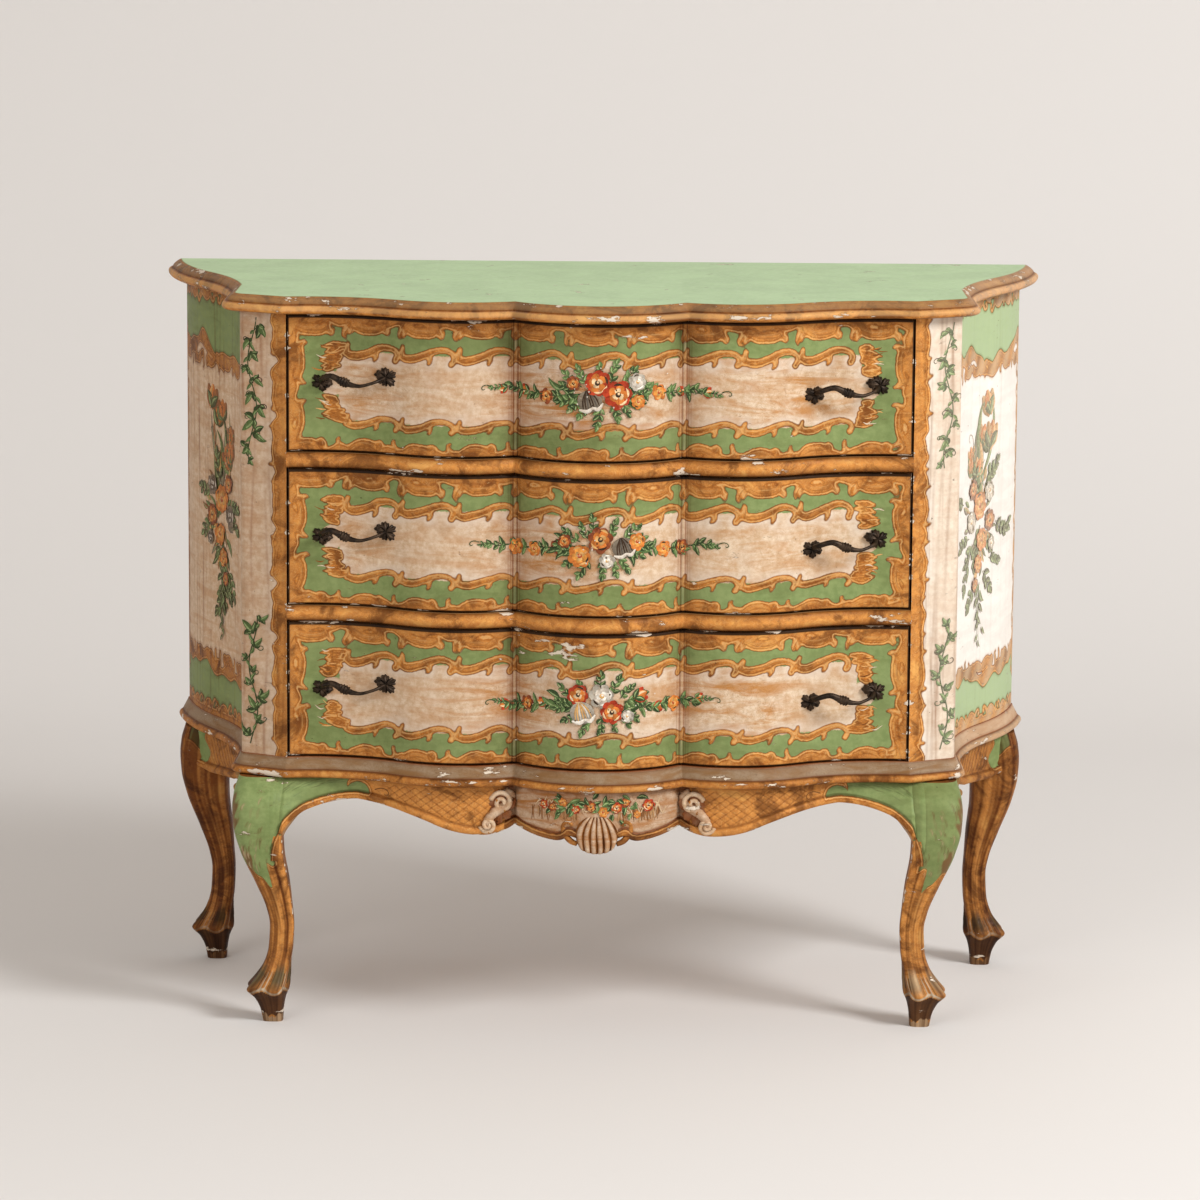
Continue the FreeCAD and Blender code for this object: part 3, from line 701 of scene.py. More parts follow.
def cream_ground(n, fine, rings, glaze):
    """Old cream paint under a brown glaze that follows the brush."""
    grain = n.noise(34, 7, 0.62, (0.35, 0.35, 1.8), 1.5)
    stain = n.math("MULTIPLY", glaze, n.ramp(grain, 0.38, 0.68), True)
    cream = n.mix(n.ramp(fine, 0.3, 0.7), lin(204, 174, 140), lin(230, 210, 184))
    cream = n.mix(stain, cream, lin(186, 128, 66))
    cream = n.mix(n.ramp(n.noise(15, 6, 0.7), 0.50, 0.72, 0.0, 0.5), cream, lin(172, 136, 98))
    return n.mix(n.times(glaze, n.ramp(rings, 1.0, 0.0, 0.0, 0.36)), cream, lin(140, 92, 50))


def gold_leaf(n, fine, rings, edge):
    """Rubbed gold with a dark patina, a pale line inside its edge and a carved one further in."""
    patina = n.noise(26, 7, 0.68, (0.8, 0.8, 0.9), 0.8)
    gold = n.mix(n.ramp(fine, 0.3, 0.7), lin(164, 92, 31), lin(214, 140, 62))
    gold = n.mix(n.ramp(edge, -2.0, -7.0, 0.0, 0.35), gold, lin(216, 156, 88))
    gold = n.mix(n.ramp(rings, 1.0, 0.0, 0.0, 0.42), gold, lin(228, 176, 110))
    gold = n.mix(n.ramp(patina, 0.48, 0.62, 0.0, 0.72), gold, lin(98, 52, 18))
    gold = n.mix(n.ramp(patina, 0.45, 0.32, 0.0, 0.6), gold, lin(238, 180, 100))
    gold = n.mix(n.ramp(n.from_level(edge, -1.7), 0.9, 0.2, 0.0, 0.52), gold, lin(240, 194, 128))
    return n.mix(n.ramp(n.from_level(edge, -3.5), 0.7, 0.2, 0.0, 0.42), gold, lin(122, 68, 26))


def painted_material():
    """Green, cream and gold by the gold and panel fields; brushwork, tone, wear and bare wood over them."""
    n = Nodes("painted_wood")
    gold, panel = n.attribute("gold").outputs["Fac"], n.attribute("panel").outputs["Fac"]
    paint, trim = n.attribute("paint"), n.attribute("trim")
    split = n.add("ShaderNodeSeparateColor")
    n.link(trim.outputs["Color"], split.inputs[0])
    tone, wear, glaze = (split.outputs[k] for k in range(3))
    bare = trim.outputs["Alpha"]
    wobble = n.math("SUBTRACT", n.noise(240, 3), 0.5)
    edge = n.math("ADD", gold, n.times(wobble, 2.0))
    inside = n.math("ADD", panel, n.times(wobble, 5.0))
    gold_on = n.ramp(edge, 0.25, -0.25)
    panel_on = n.ramp(inside, 0.5, -0.5)
    fine = n.noise(130, 6, 0.65)
    streak = n.noise(22, 7, 0.62, (0.7, 0.7, 2.4), 0.6)
    swirl = n.noise(30, 4, 0.6, (1, 1, 1.5), 1.7)
    rings = n.ramp(n.from_level(n.math("FRACT", n.times(swirl, 11.0)), 0.5), 0.02, 0.14)
    line = n.ramp(n.from_level(edge, 0.1), 0.75, 0.2, 0.0, 0.70)
    color = n.mix(panel_on, green_ground(n, fine, streak), cream_ground(n, fine, rings, glaze))
    color = n.mix(gold_on, color, gold_leaf(n, fine, rings, edge))
    color = n.mix(line, color, lin(104, 64, 30))
    veil = n.ramp(streak, 0.30, 0.70, 0.90, 1.04)
    color = n.mix(paint.outputs["Alpha"], color, n.mix(1.0, paint.outputs["Color"], veil, "MULTIPLY"))
    # Tone darkens the colour, both for stains and streaks and for the painted shade laid into the tone fields
    stain_and_shade = n.mix(gold_on, lin(150, 100, 62), lin(134, 114, 96))
    color = n.mix(tone, color, n.mix(1.0, color, stain_and_shade, "MULTIPLY"))
    spots = n.math("ADD", n.noise(62, 7, 0.66, (0.38, 0.38, 1.3)), n.times(wear, 0.17))
    chips = n.ramp(spots, 0.690, 0.705)
    rim = n.ramp(spots, 0.655, 0.690)
    color = n.mix(n.times(rim, 0.55), color, lin(92, 62, 38))
    color = n.mix(n.times(chips, 0.9), color, lin(218, 204, 186))
    pits = n.ramp(n.noise(170, 2, 0.5), 0.755, 0.78)
    color = n.mix(n.times(pits, 0.6), color, lin(62, 42, 26))
    grain = n.ramp(n.noise(22, 6, 0.6, (0.5, 0.5, 7)), 0.3, 0.7)
    color = n.mix(bare, color, n.mix(grain, lin(150, 108, 66), lin(186, 142, 94)))
    height = n.math("ADD", n.times(gold_on, 0.55), n.times(fine, 0.35))
    height = n.math("ADD", height, n.times(n.times(rings, gold_on), 0.25))
    height = n.math("SUBTRACT", height, n.times(chips, 0.6))
    n.bump(height, 0.5, 0.0007)
    return n.finish(color, n.ramp(fine, 0.3, 0.7, 0.42, 0.62), n.times(gold_on, 0.10), 0.14)


def spray_material():
    n = Nodes("brushed_flowers")
    paint = n.attribute("paint").outputs["Color"]
    fine = n.noise(260, 5, 0.65)
    dim = n.mix(1.0, paint, lin(172, 142, 112), "MULTIPLY")
    color = n.mix(n.ramp(fine, 0.42, 0.70, 0.0, 0.55), paint, dim)
    color = n.mix(n.ramp(n.noise(150, 5, 0.7), 0.60, 0.72, 0.0, 0.55), color, CREAM)
    return n.finish(color, 0.55, 0.0, 0.15)


def wood_material(name, dark, light, across):
    """Sawn pine: broad cloudy figure, close dark growth lines along the grain, and fine pores."""
    n = Nodes(name)
    long = tuple(v if v == 1 else v / 3 for v in across)
    cloud = n.noise(9, 4, 0.5, across, 0.4)
    rings = n.noise(70, 5, 0.55, long, 0.5)
    fine = n.noise(260, 4, 0.6, across)
    color = n.mix(n.ramp(cloud, 0.3, 0.7), dark, light)
    color = n.mix(n.ramp(rings, 0.50, 0.72, 0.0, 0.62), color, tuple(0.62 * v for v in dark))
    color = n.mix(n.ramp(fine, 0.55, 0.8, 0.0, 0.4), color, tuple(0.5 * v for v in dark))
    n.bump(rings, 0.25, 0.0006)
    return n.finish(color, 0.68, 0.0, 0.25)


def bronze_material():
    n = Nodes("dark_bronze")
    cloud = n.noise(120, 5, 0.6)
    color = n.mix(n.ramp(cloud, 0.35, 0.7), lin(34, 26, 20), lin(74, 58, 44))
    n.bump(n.noise(420, 4, 0.6), 0.3, 0.0004)
    return n.finish(color, n.ramp(cloud, 0.3, 0.7, 0.38, 0.58), 0.75, 0.5)


PAINTED = painted_material()
SPRAY = spray_material()
BRONZE = bronze_material()
PINES = (wood_material("pine_across", lin(158, 116, 72), lin(198, 156, 106), (0.12, 1, 1)),
         wood_material("pine_along", lin(152, 110, 68), lin(192, 150, 102), (1, 0.12, 1)),
         wood_material("pine_upright", lin(132, 94, 58), lin(172, 130, 86), (1, 1, 0.12)))


# Brushed flowers: thin ribbons of paint that follow a face
class Spray:
    """Strokes laid one on another; place(u, v, lift) maps a point of the face to space."""
    FIRST_LIFT = 0.12
    LAYER_LIFT = 0.0035

    def __init__(self, place, flip=False, veil=(CREAM, 0.0)):
        self.place, self.flip, self.veil = place, flip, veil
        self.verts, self.faces, self.tints, self.flat = [], [], [], []
        self.count, self.layer = 0, 0

    def brush(self, p, r, color, exact=False):
        if not exact:
            p, r = smooth_line(p, r)
        p, r = np.asarray(p, float), np.asarray(r, float) * np.ones(len(p))
        along = np.gradient(p, axis=0)
        along /= np.linalg.norm(along, axis=1)[:, None] + 1e-9
        across = np.column_stack([-along[:, 1], along[:, 0]]) * r[:, None]
        rows = np.stack([p - across, p, p + across])
        up = self.FIRST_LIFT + self.LAYER_LIFT * self.layer
        self.verts.append(self.place(rows[..., 0], rows[..., 1], up).reshape(-1, 3))
        self.faces += quads(3, len(p), self.count, self.flip)
        # The veil mixes every stroke towards one colour; on the sides of the case it is dark on the left,
        # painted shade, and pale on the right, painted light
        color = np.array(color) * (1 - self.veil[1]) + np.array(self.veil[0]) * self.veil[1]
        self.tints.append(np.repeat([color * 0.74, color, np.minimum(color * 1.18, 1)], len(p), 0))
        self.flat.append(rows.reshape(-1, 2))
        self.count += 3 * len(p)
        self.layer += 1

    def dab(self, x, y, r, color, tall=1.0):
        a = np.linspace(math.pi, 0, 9)
        p = np.column_stack([x + r * np.cos(a), np.full(9, y)])
        self.brush(p, r * tall * np.sin(a) + 0.02, color, True)

    def finish(self, name, body, slot):
        obj = new_object(name, np.vstack(self.verts), self.faces, SPRAY)
        tints, flat = np.vstack(self.tints), np.vstack(self.flat)
        lo, hi = flat.min(0), flat.max(0)
        put_uv(obj.data, 0.01 + 0.98 * (flat - lo) / (hi - lo))
        dress(obj, {"paint": np.column_stack([tints, np.ones(len(tints))])}, (), body)


def placer(path, lift, u, v, relief, z0, mirror=1.0):
    """Maps points of a face to space, on the highest relief within two columns."""
    high = relief.copy()
    for k in (1, 2):
        high[:, k:] = np.maximum(high[:, k:], relief[:, :-k])
        high[:, :-k] = np.maximum(high[:, :-k], relief[:, k:])

    def place(x, y, up):
        i = np.clip(np.searchsorted(u, x), 1, len(u) - 1)
        f = np.clip((x - u[i - 1]) / (u[i] - u[i - 1]), 0, 1)[..., None]
        j = np.clip(np.round((y - v[0]) / (v[-1] - v[0]) * (len(v) - 1)).astype(int), 0, len(v) - 1)
        spot, out = (p[i - 1] + (p[i] - p[i - 1]) * f for p in (path, lift))
        p = spot + out * (np.maximum(high[j, i], 0) + up)[..., None]
        return np.stack([p[..., 0] * mirror, p[..., 1], z0 + y], -1)
    return place


def tint(color, rng, low=0.8, high=1.15):
    return np.minimum(np.array(color) * rng.uniform(low, high), 1)


def blade(s, x, y, angle, length, width, color, light, rng):
    bend = rng.uniform(-0.16, 0.16) * length
    body = [(0, 0), (0.35 * length, bend), (0.72 * length, bend), (length, 0)]
    s.brush(turned(body, (x, y), angle), np.array([0.22, 1.0, 0.74, 0.06]) * width, tint(color, rng))
    gleam = [(0.12 * length, bend * 0.5 + 0.25 * width), (0.45 * length, bend + 0.4 * width),
             (0.86 * length, bend * 0.6)]
    s.brush(turned(gleam, (x, y), angle), np.array([0.1, 0.26, 0.05]) * width, tint(light, rng))


def leaf(s, x, y, angle, length, width, rng):
    blade(s, x, y, angle, length, width, LEAF_DARK if rng.random() < 0.55 else LEAF, LEAF_LIGHT, rng)


def sprig(s, x, y, angle, length, rng, width=2.5):
    """A stem with three pairs of leaves and one at its tip."""
    pairs = 3
    stem = turned([(0, 0), (0.5 * length, 0.07 * length), (length, 0)], (x, y), angle)
    s.brush(stem, [0.7, 0.55, 0.35], LEAF_DARK)
    for k in range(pairs):
        t = (k + 0.55) / pairs
        bx, by = turned([(t * length, 0.06 * length * math.sin(math.pi * t))], (x, y), angle)[0]
        for side in (-1, 1):
            lean = side * rng.uniform(0.5, 0.95)
            leaf(s, bx, by, angle + lean, length * rng.uniform(0.34, 0.46) * (1.1 - 0.3 * t), width, rng)
    leaf(s, stem[-1][0], stem[-1][1], angle + rng.normal(0, 0.2), length * 0.36, width, rng)


def bloom(s, x, y, r, colors, rng, petals=7):
    """An open flower: three rings of petals, a few fine arcs and a heart."""
    outer, middle, light, heart = colors
    turn = rng.uniform(0, 6.28)
    rings = ((petals, 1.0, 0.40, outer), (petals - 2, 0.68, 0.30, middle), (3, 0.42, 0.22, light))
    for ring, (count, reach, wide, color) in enumerate(rings):
        for k in range(count):
            a = turn + 2 * math.pi * (k + 0.5 * ring + rng.uniform(-0.12, 0.12)) / count
            d = r * reach * rng.uniform(0.9, 1.1)
            p = [(x + f * d * math.cos(a + g), y + f * d * math.sin(a + g))
                 for f, g in ((0.12, 0), (0.45, 0.06), (0.78, -0.05), (1.0, 0.0))]
            s.brush(p, np.array([0.3, 0.85, 1.0, 0.4]) * wide * r, tint(color, rng, 0.72, 1.12))
    for k in range(3):
        a = turn + rng.uniform(0, 6.28)
        arc_turns = a + np.linspace(0, 0.9, 4)
        arc = [(x + 0.74 * r * math.cos(t), y + 0.74 * r * math.sin(t)) for t in arc_turns]
        s.brush(arc, np.array([0.02, 0.08, 0.08, 0.02]) * r, tint(light if k else INK, rng))
    s.dab(x, y, 0.20 * r, heart)
    s.dab(x + 0.04 * r, y + 0.06 * r, 0.09 * r, light)


def cupped(s, x, y, r, colors, rng, angle):
    """A flower seen from the side: a hatched bowl with a light rim."""
    outer, middle, light, heart = colors
    s.dab(x, y, r, tint(outer, rng), 0.9)
    for k in np.linspace(-0.8, 0.8, 7):
        rib = [(-0.9 * r, 0.1 * k * r), (-0.2 * r, 0.65 * k * r), (0.6 * r, 0.85 * k * r)]
        p = turned(rib, (x, y), angle)
        s.brush(p, np.array([0.03, 0.07, 0.03]) * r, tint(middle if k * 10 % 2 > 1 else heart, rng))
    rim = [(0.45, -1.0), (0.75, -0.4), (0.6, 0.1), (0.8, 0.5), (0.4, 1.0)]
    s.brush(turned(rim, (x, y), angle, r), np.array([0.06, 0.16, 0.10, 0.16, 0.05]) * r, light)


def bud(s, x, y, angle, r, colors, rng):
    outer, middle, light, _ = colors
    for side, wide in ((-0.45, 0.34), (0.45, 0.34), (0.0, 0.36)):
        p = turned([(0, 0), (0.5 * r, 0), (r, 0)], (x, y), angle + side)
        s.brush(p, np.array([0.4, 1.0, 0.2]) * wide * r, tint(outer if side else middle, rng))
    gleam = [(0.2 * r, 0.1 * r), (0.6 * r, 0.16 * r), (0.95 * r, 0.04 * r)]
    s.brush(turned(gleam, (x, y), angle), np.array([0.03, 0.09, 0.03]) * r, light)
    for side in (-0.7, 0.7):
        leaf(s, x, y, angle + side, 0.8 * r, 0.2 * r, rng)


TENDRIL = [(0, 0), (0.45, 0.14), (0.85, 0.05), (0.98, -0.2), (0.82, -0.34), (0.66, -0.22)]


def tendril(s, x, y, angle, size, flip=1, color=LEAF_DARK):
    s.brush(turned(TENDRIL, (x, y), angle, size, flip), [0.6, 0.55, 0.5, 0.5, 0.45, 0.3], color)


# Flowers: outer petals, inner petals, lights and heart
PEONY = (RED, ORANGE, lin(232, 200, 156), INK)
BRICK = (lin(142, 74, 42), ORANGE, OCHRE, INK)
MARIGOLD = (ORANGE, lin(222, 150, 70), OCHRE, RED)
ASH = (GREY, lin(92, 84, 76), WHITE, INK)
SNOW = (lin(176, 168, 154), WHITE, lin(236, 230, 218), OCHRE)
SCHEMES = {
    "upper": {
        "level": 83, "reach": (146, 162), "buds": PEONY,
        "side": [(0.34, "sprig"), (0.46, "bloom"), (0.55, "sprig"), (0.63, "bud"), (0.72, "sprig"),
                 (0.86, "bud")],
        "cluster": [("cupped", -12, -9, 15, ASH), ("bloom", -3, 13, 17, PEONY), ("bloom", 22, -1, 18, PEONY),
                    ("bloom", -32, 12, 9, BRICK), ("bloom", 46, 14, 12, SNOW),
                    ("bloom", 47, -10, 9, MARIGOLD)]},
    "middle": {
        "level": 84, "reach": (160, 160), "buds": BRICK,
        "side": [(0.32, "bloom"), (0.42, "sprig"), (0.52, "bloom"), (0.62, "sprig"), (0.70, "bloom"),
                 (0.82, "sprig")],
        "cluster": [("bloom", 2, 11, 17, BRICK), ("bloom", -23, -9, 15, MARIGOLD), ("cupped", 30, 1, 14, ASH),
                    ("bloom", 47, 8, 11, MARIGOLD), ("bloom", 10, -15, 10, SNOW),
                    ("bloom", -42, 8, 9, BRICK)]},
    "lower": {
        "level": 80, "reach": (140, 152), "buds": PEONY,
        "side": [(0.36, "sprig"), (0.47, "bud"), (0.56, "sprig"), (0.66, "bloom"), (0.76, "sprig"),
                 (0.87, "bud")],
        "cluster": [("bloom", -24, 13, 14, PEONY), ("bloom", 5, 12, 16, SNOW), ("cupped", -19, -9, 15, SNOW),
                    ("bloom", 17, -8, 15, PEONY), ("bud", 46, 8, 17, PEONY), ("bloom", 36, -13, 9, SNOW)]}}


def garland_side(s, side, reach, scheme, seed, rng):
    """One arm of a garland: a waving stem with sprigs, blossoms, buds, leaves and a tendril."""
    v0 = scheme["level"]
    out = 0.0 if side > 0 else math.pi

    def height(t):
        return v0 + 3.4 * math.sin(side * t * 5.2 + seed)

    stem = [(side * t * reach, height(t)) for t in np.linspace(0.1, 0.94, 9)]
    s.brush(stem, np.linspace(1.0, 0.45, 9), LEAF_DARK)
    for t, kind in scheme["side"]:
        x, y = side * t * reach, height(t) + rng.normal(0, 1.0)
        if kind == "sprig":
            sprig(s, x - side * 8, y, out + rng.uniform(-0.25, 0.25), rng.uniform(22, 27), rng, 2.7)
            for turn in (1.2, -1.2):
                leaf(s, x, y, out + side * turn, rng.uniform(10, 14), 2.6, rng)
        elif kind == "bloom":
            bloom(s, x, y, rng.uniform(9.0, 10.5), MARIGOLD if rng.random() < 0.6 else BRICK, rng, 6)
        else:
            bud(s, x, y, out + rng.uniform(-0.3, 0.3), rng.uniform(11, 13), scheme["buds"], rng)
    for _ in range(5):
        a = out + rng.uniform(-1.2, 1.2)
        x, y = side * rng.uniform(26, 50), v0 + rng.uniform(-8, 8)
        leaf(s, x, y, a, rng.uniform(17, 26), rng.uniform(2.8, 3.8), rng)
    sprig(s, side * reach * 0.90, height(0.9), out + rng.normal(0, 0.1), 14, rng, 1.4)
    tendril(s, side * reach, height(1.0), out, 12, side)


def garland(s, scheme, seed):
    """A flat spray about the middle of a drawer: two arms, sprigs all round and a cluster at the centre."""
    rng = np.random.default_rng(seed)
    v0 = scheme["level"]
    for side, reach in zip((-1, 1), scheme["reach"]):
        garland_side(s, side, reach, scheme, seed, rng)
    for k in range(15):
        a = 2 * math.pi * (k + rng.uniform(-0.3, 0.3)) / 15
        sprig(s, 4 + 33 * math.cos(a), v0 + 13 * math.sin(a), a, rng.uniform(17, 25), rng, 2.6)
    for kind, x, y, r, colors in scheme["cluster"]:
        if kind == "bloom":
            bloom(s, x, v0 + y, 0.93 * r, colors, rng)
        elif kind == "cupped":
            cupped(s, x, v0 + y, r, colors, rng, -1.3)
        else:
            bud(s, x, v0 + y, 0.5, r, colors, rng)
    for _ in range(16):
        x, y, r = rng.normal(4, 38), v0 + rng.normal(0, 13), rng.uniform(0.6, 1.1)
        s.dab(x, y, r, WHITE if rng.random() < 0.55 else INK)


# Drawer fronts
FRONT_STEP = 1.28
FRONT_ROWS = 132
FRONT_THICK = 18.0
FAN_STROKES = (lin(222, 168, 104), lin(120, 70, 30), lin(214, 196, 170), lin(196, 120, 46), lin(140, 84, 34))


def drawer_front(name, floor, seed):
    base, ahead, behind = (front_path(g, FRONT_HALF, FRONT_STEP) for g in (0.0, 1.0, -FRONT_THICK))
    lift = ahead - base
    u = run_length(base)
    u = u - u[-1] / 2
    v = np.linspace(0, DRAWER_H, FRONT_ROWS)
    c = drawer_canvas(name, u, v, seed)
    grid = face_grid(base, lift, c.relief, floor + v[:, None])
    inner = [level_path(behind, floor + z) for z in (0.0, DRAWER_H)]
    body = name + "_drawer"
    painted_piece(name + "_front_painted", body, [name + "_drawer_front"], grid, c, inner)
    s = Spray(placer(base, lift, u, v, c.relief, floor))
    rng = np.random.default_rng(seed + 40)
    for side in (-1, 1):
        for k in range(14):
            e, y = rng.uniform(42, 62), (rng.uniform(99, 131) if k % 2 else rng.uniform(37, 66))
            x = side * (u[-1] - e)
            p = [(x, y), (x + side * 5, y + rng.normal(0, 1)),
                 (x + side * rng.uniform(9, 13), y + rng.normal(1, 2))]
            s.brush(p, [0.2, rng.uniform(0.5, 0.9), 0.2], FAN_STROKES[k % 5])
    garland(s, SCHEMES[name], seed + 11)
    s.finish(name + "_garland", body, "painted_panel")


for index, (name, floor) in enumerate(FLOORS.items()):
    drawer_front(name, floor, 21 + index)


# Front posts and side panels
POST_STEP = 1.6
POST_ROWS = 330
POST_THICK = 11.5
POST_DEPTH = 28
IVY_U = 105
# The left post has more tone, a dark spray veil and little haze: painted shade; the right has little tone, a
# pale veil and a strong pale haze: painted light
POST_LOOK = {
    -1: {"seed": 72, "tone": 0.36, "streaks": (44, 0.34), "haze": (lin(214, 204, 190), 0.08),
         "veil": (lin(60, 46, 26), 0.25), "ivy": (8, 18, 1.0)},
    1: {"seed": 71, "tone": 0.05, "streaks": (70, 0.42), "haze": (lin(232, 226, 216), 0.40),
        "veil": (lin(206, 200, 176), 0.22), "ivy": (5, 15, 0.78)}}
PANEL_STEP = 1.9
PANEL_ROWS = 290
PANEL_THICK = 16
# The left panel has more tone and rim tone and a dark spray veil: painted shade; the right has none, a pale
# veil and paler colours: painted light
PANEL_LOOK = {
    -1: {"seed": 83, "glaze": 0.42, "tone": 0.24, "rim": 0.25, "streaks": 0.40,
         "veil": (lin(116, 84, 52), 0.30), "bouquet": 95},
    1: {"seed": 81, "glaze": 0.10, "tone": 0.0, "rim": 0.12, "streaks": 0.10,
        "veil": (lin(226, 214, 194), 0.34), "bouquet": 91}}


def ivy(s, u0, v0, v1, seed, scale):
    """A hanging vine: lobed leaves to either side and curled tendrils between them."""
    rng = np.random.default_rng(seed)
    steps = int(abs(v1 - v0) / 8)
    line = [(u0 + 6.0 * math.sin(k * 0.45 + seed), v0 + (v1 - v0) * k / steps) for k in range(steps + 1)]
    s.brush(line, np.full(len(line), 0.75), LEAF_DARK)
    down = math.copysign(math.pi / 2, v1 - v0)
    for k, (x, y) in enumerate(line[1:-1]):
        side = 1 if k % 4 < 2 else -1
        if k % 2:
            curl, size = down + side * rng.uniform(1.6, 2.4), rng.uniform(11, 17)
            tendril(s, x, y, curl, size, side, INK if rng.random() < 0.4 else LEAF_DARK)
            lean, length = side * rng.uniform(0.4, 0.9), rng.uniform(7, 12)
            blade(s, x, y, down - lean, length, 2.0, LEAF, LEAF_LIGHT, rng)
            continue
        a = down + side * rng.uniform(0.5, 1.1)
        x, y = x + 4.5 * math.cos(a), y + 4.5 * math.sin(a)
        size = scale * rng.uniform(0.7, 1.3)
        for turn, length in ((-1.0, 10.5), (1.0, 10.5), (0.0, 16.0)):
            lean, reach = turn * rng.uniform(0.7, 1.2), length * size * rng.uniform(0.7, 1.2)
            blade(s, x, y, a + lean, reach, 3.3 * size, LEAF_DARK if turn else LEAF, LEAF_LIGHT, rng)
        s.dab(x, y, 2.4, LEAF_DARK)


def streaks(c, rng, count, strength):
    """Long upright brush marks in the glaze."""
    for k in range(count):
        u0, v0 = rng.uniform(c.u[0], c.u[-1]), rng.uniform(c.v[0], c.v[-1])
        line = u0 + 3.0 * np.sin(c.V / rng.uniform(40, 90) + k)
        dark = strength * rng.uniform(0.3, 1.0)
        wide, tall = rng.uniform(0.7, 2.2), rng.uniform(30, 120)
        c.tone += dark * np.exp(-((c.U - line) / wide) ** 2 - ((c.V - v0) / tall) ** 2)


def side_piece(side, kind, grid, c, inner):
    """Right-hand pieces run back to front, so their rows are turned round to face outward."""
    name = SIDE_WORD[side] + kind
    if side > 0:
        grid, inner = grid[:, ::-1], [p[::-1] for p in inner]
        c.reverse()
    painted_piece(name + "_painted", "case", [name], grid, c, inner)


def case_side(side, kind, outer, lift, deep, c):
    """A painted face of the case from its floor to the top, closed at the deep path."""
    flip = (side, 1.0)
    grid = face_grid(outer, lift, c.relief, CASE_FLOOR + c.v[:, None], flip)
    inner = [level_path(deep * flip, CASE_FLOOR + z) for z in (0.0, c.v[-1])]
    side_piece(side, kind, grid, c, inner)


def post_canvas(u, v, side):
    look = POST_LOOK[side]
    c = Canvas(u, v, panel=-12.0)
    rng = np.random.default_rng(look["seed"])
    end, high = u[-1], v[-1]
    waves = 9.0 * np.abs(np.sin(math.pi * c.V / 34.0 + side)) ** 0.7
    c.gold = end - c.U - 11.0 - waves - 0.6 * scallop(c.V, side)
    along_edge(c, SIDE_UNITS, (end, high - 2), (end, 2), (-1, 0), 68, rng, 1.0, 9.0)
    c.gold = softened(c.gold, 5) - 0.4
    c.wear = 0.8 * np.exp(-np.abs(end - c.U) / 3.0) + 0.25 * bell(c.U - 88, 8)
    c.glaze = 0.40 - 0.2 * bell(c.U - 132, 14)
    # Painted shade: tone set by side, darker towards the side of the case
    c.tone = look["tone"] * np.clip(1.3 - c.U / end * 0.5, 0, 1)
    streaks(c, rng, *look["streaks"])
    # Pale haze near the gold, raised over the whole right post as painted light
    color, least = look["haze"]
    near = np.exp(-np.maximum(c.gold, 0) / 7.0) * (0.6 + 0.4 * np.sin(c.V / 12.0))
    c.rgb[..., :3] = color
    c.rgb[..., 3] = np.clip(least + 0.5 * near, 0, 0.8) * np.clip(c.gold / 1.2, 0, 1)
    engrave_with_painted_light(c, 400 + side, 60)
    c.relief = c.raised_gold(0.4)
    return c


def post(side):
    outer, ahead, inside = (right_path(g, 2, 5, POST_STEP) for g in (0.0, 1.0, -POST_THICK))
    lift = ahead - outer
    deep = outer + (inside - outer) * (POST_DEPTH / POST_THICK)
    deep[:, 0] = np.maximum(deep[:, 0], OPENING)
    u, v = run_length(outer), np.linspace(0, TOP_UNDER - CASE_FLOOR, POST_ROWS)
    c = post_canvas(u, v, side)
    s = Spray(placer(outer, lift, u, v, c.relief, CASE_FLOOR, side), side > 0, POST_LOOK[side]["veil"])
    upper_seed, lower_seed, scale = POST_LOOK[side]["ivy"]
    ivy(s, IVY_U, v[-1] - 8, v[-1] - 186, upper_seed, scale)
    ivy(s, IVY_U, 12, 172, lower_seed, scale)
    s.finish(SIDE_WORD[side] + "post_ivy", "case", "painted_panel")
    case_side(side, "front_post", outer, lift, deep, c)


BOUQUET_BLOOMS = ((0, 8, 20), (-19, -14, 15), (18, -10, 16), (-4, -36, 16), (15, 30, 14), (-18, 24, 14),
                  (3, -66, 13), (8, -92, 10), (-22, -44, 10))


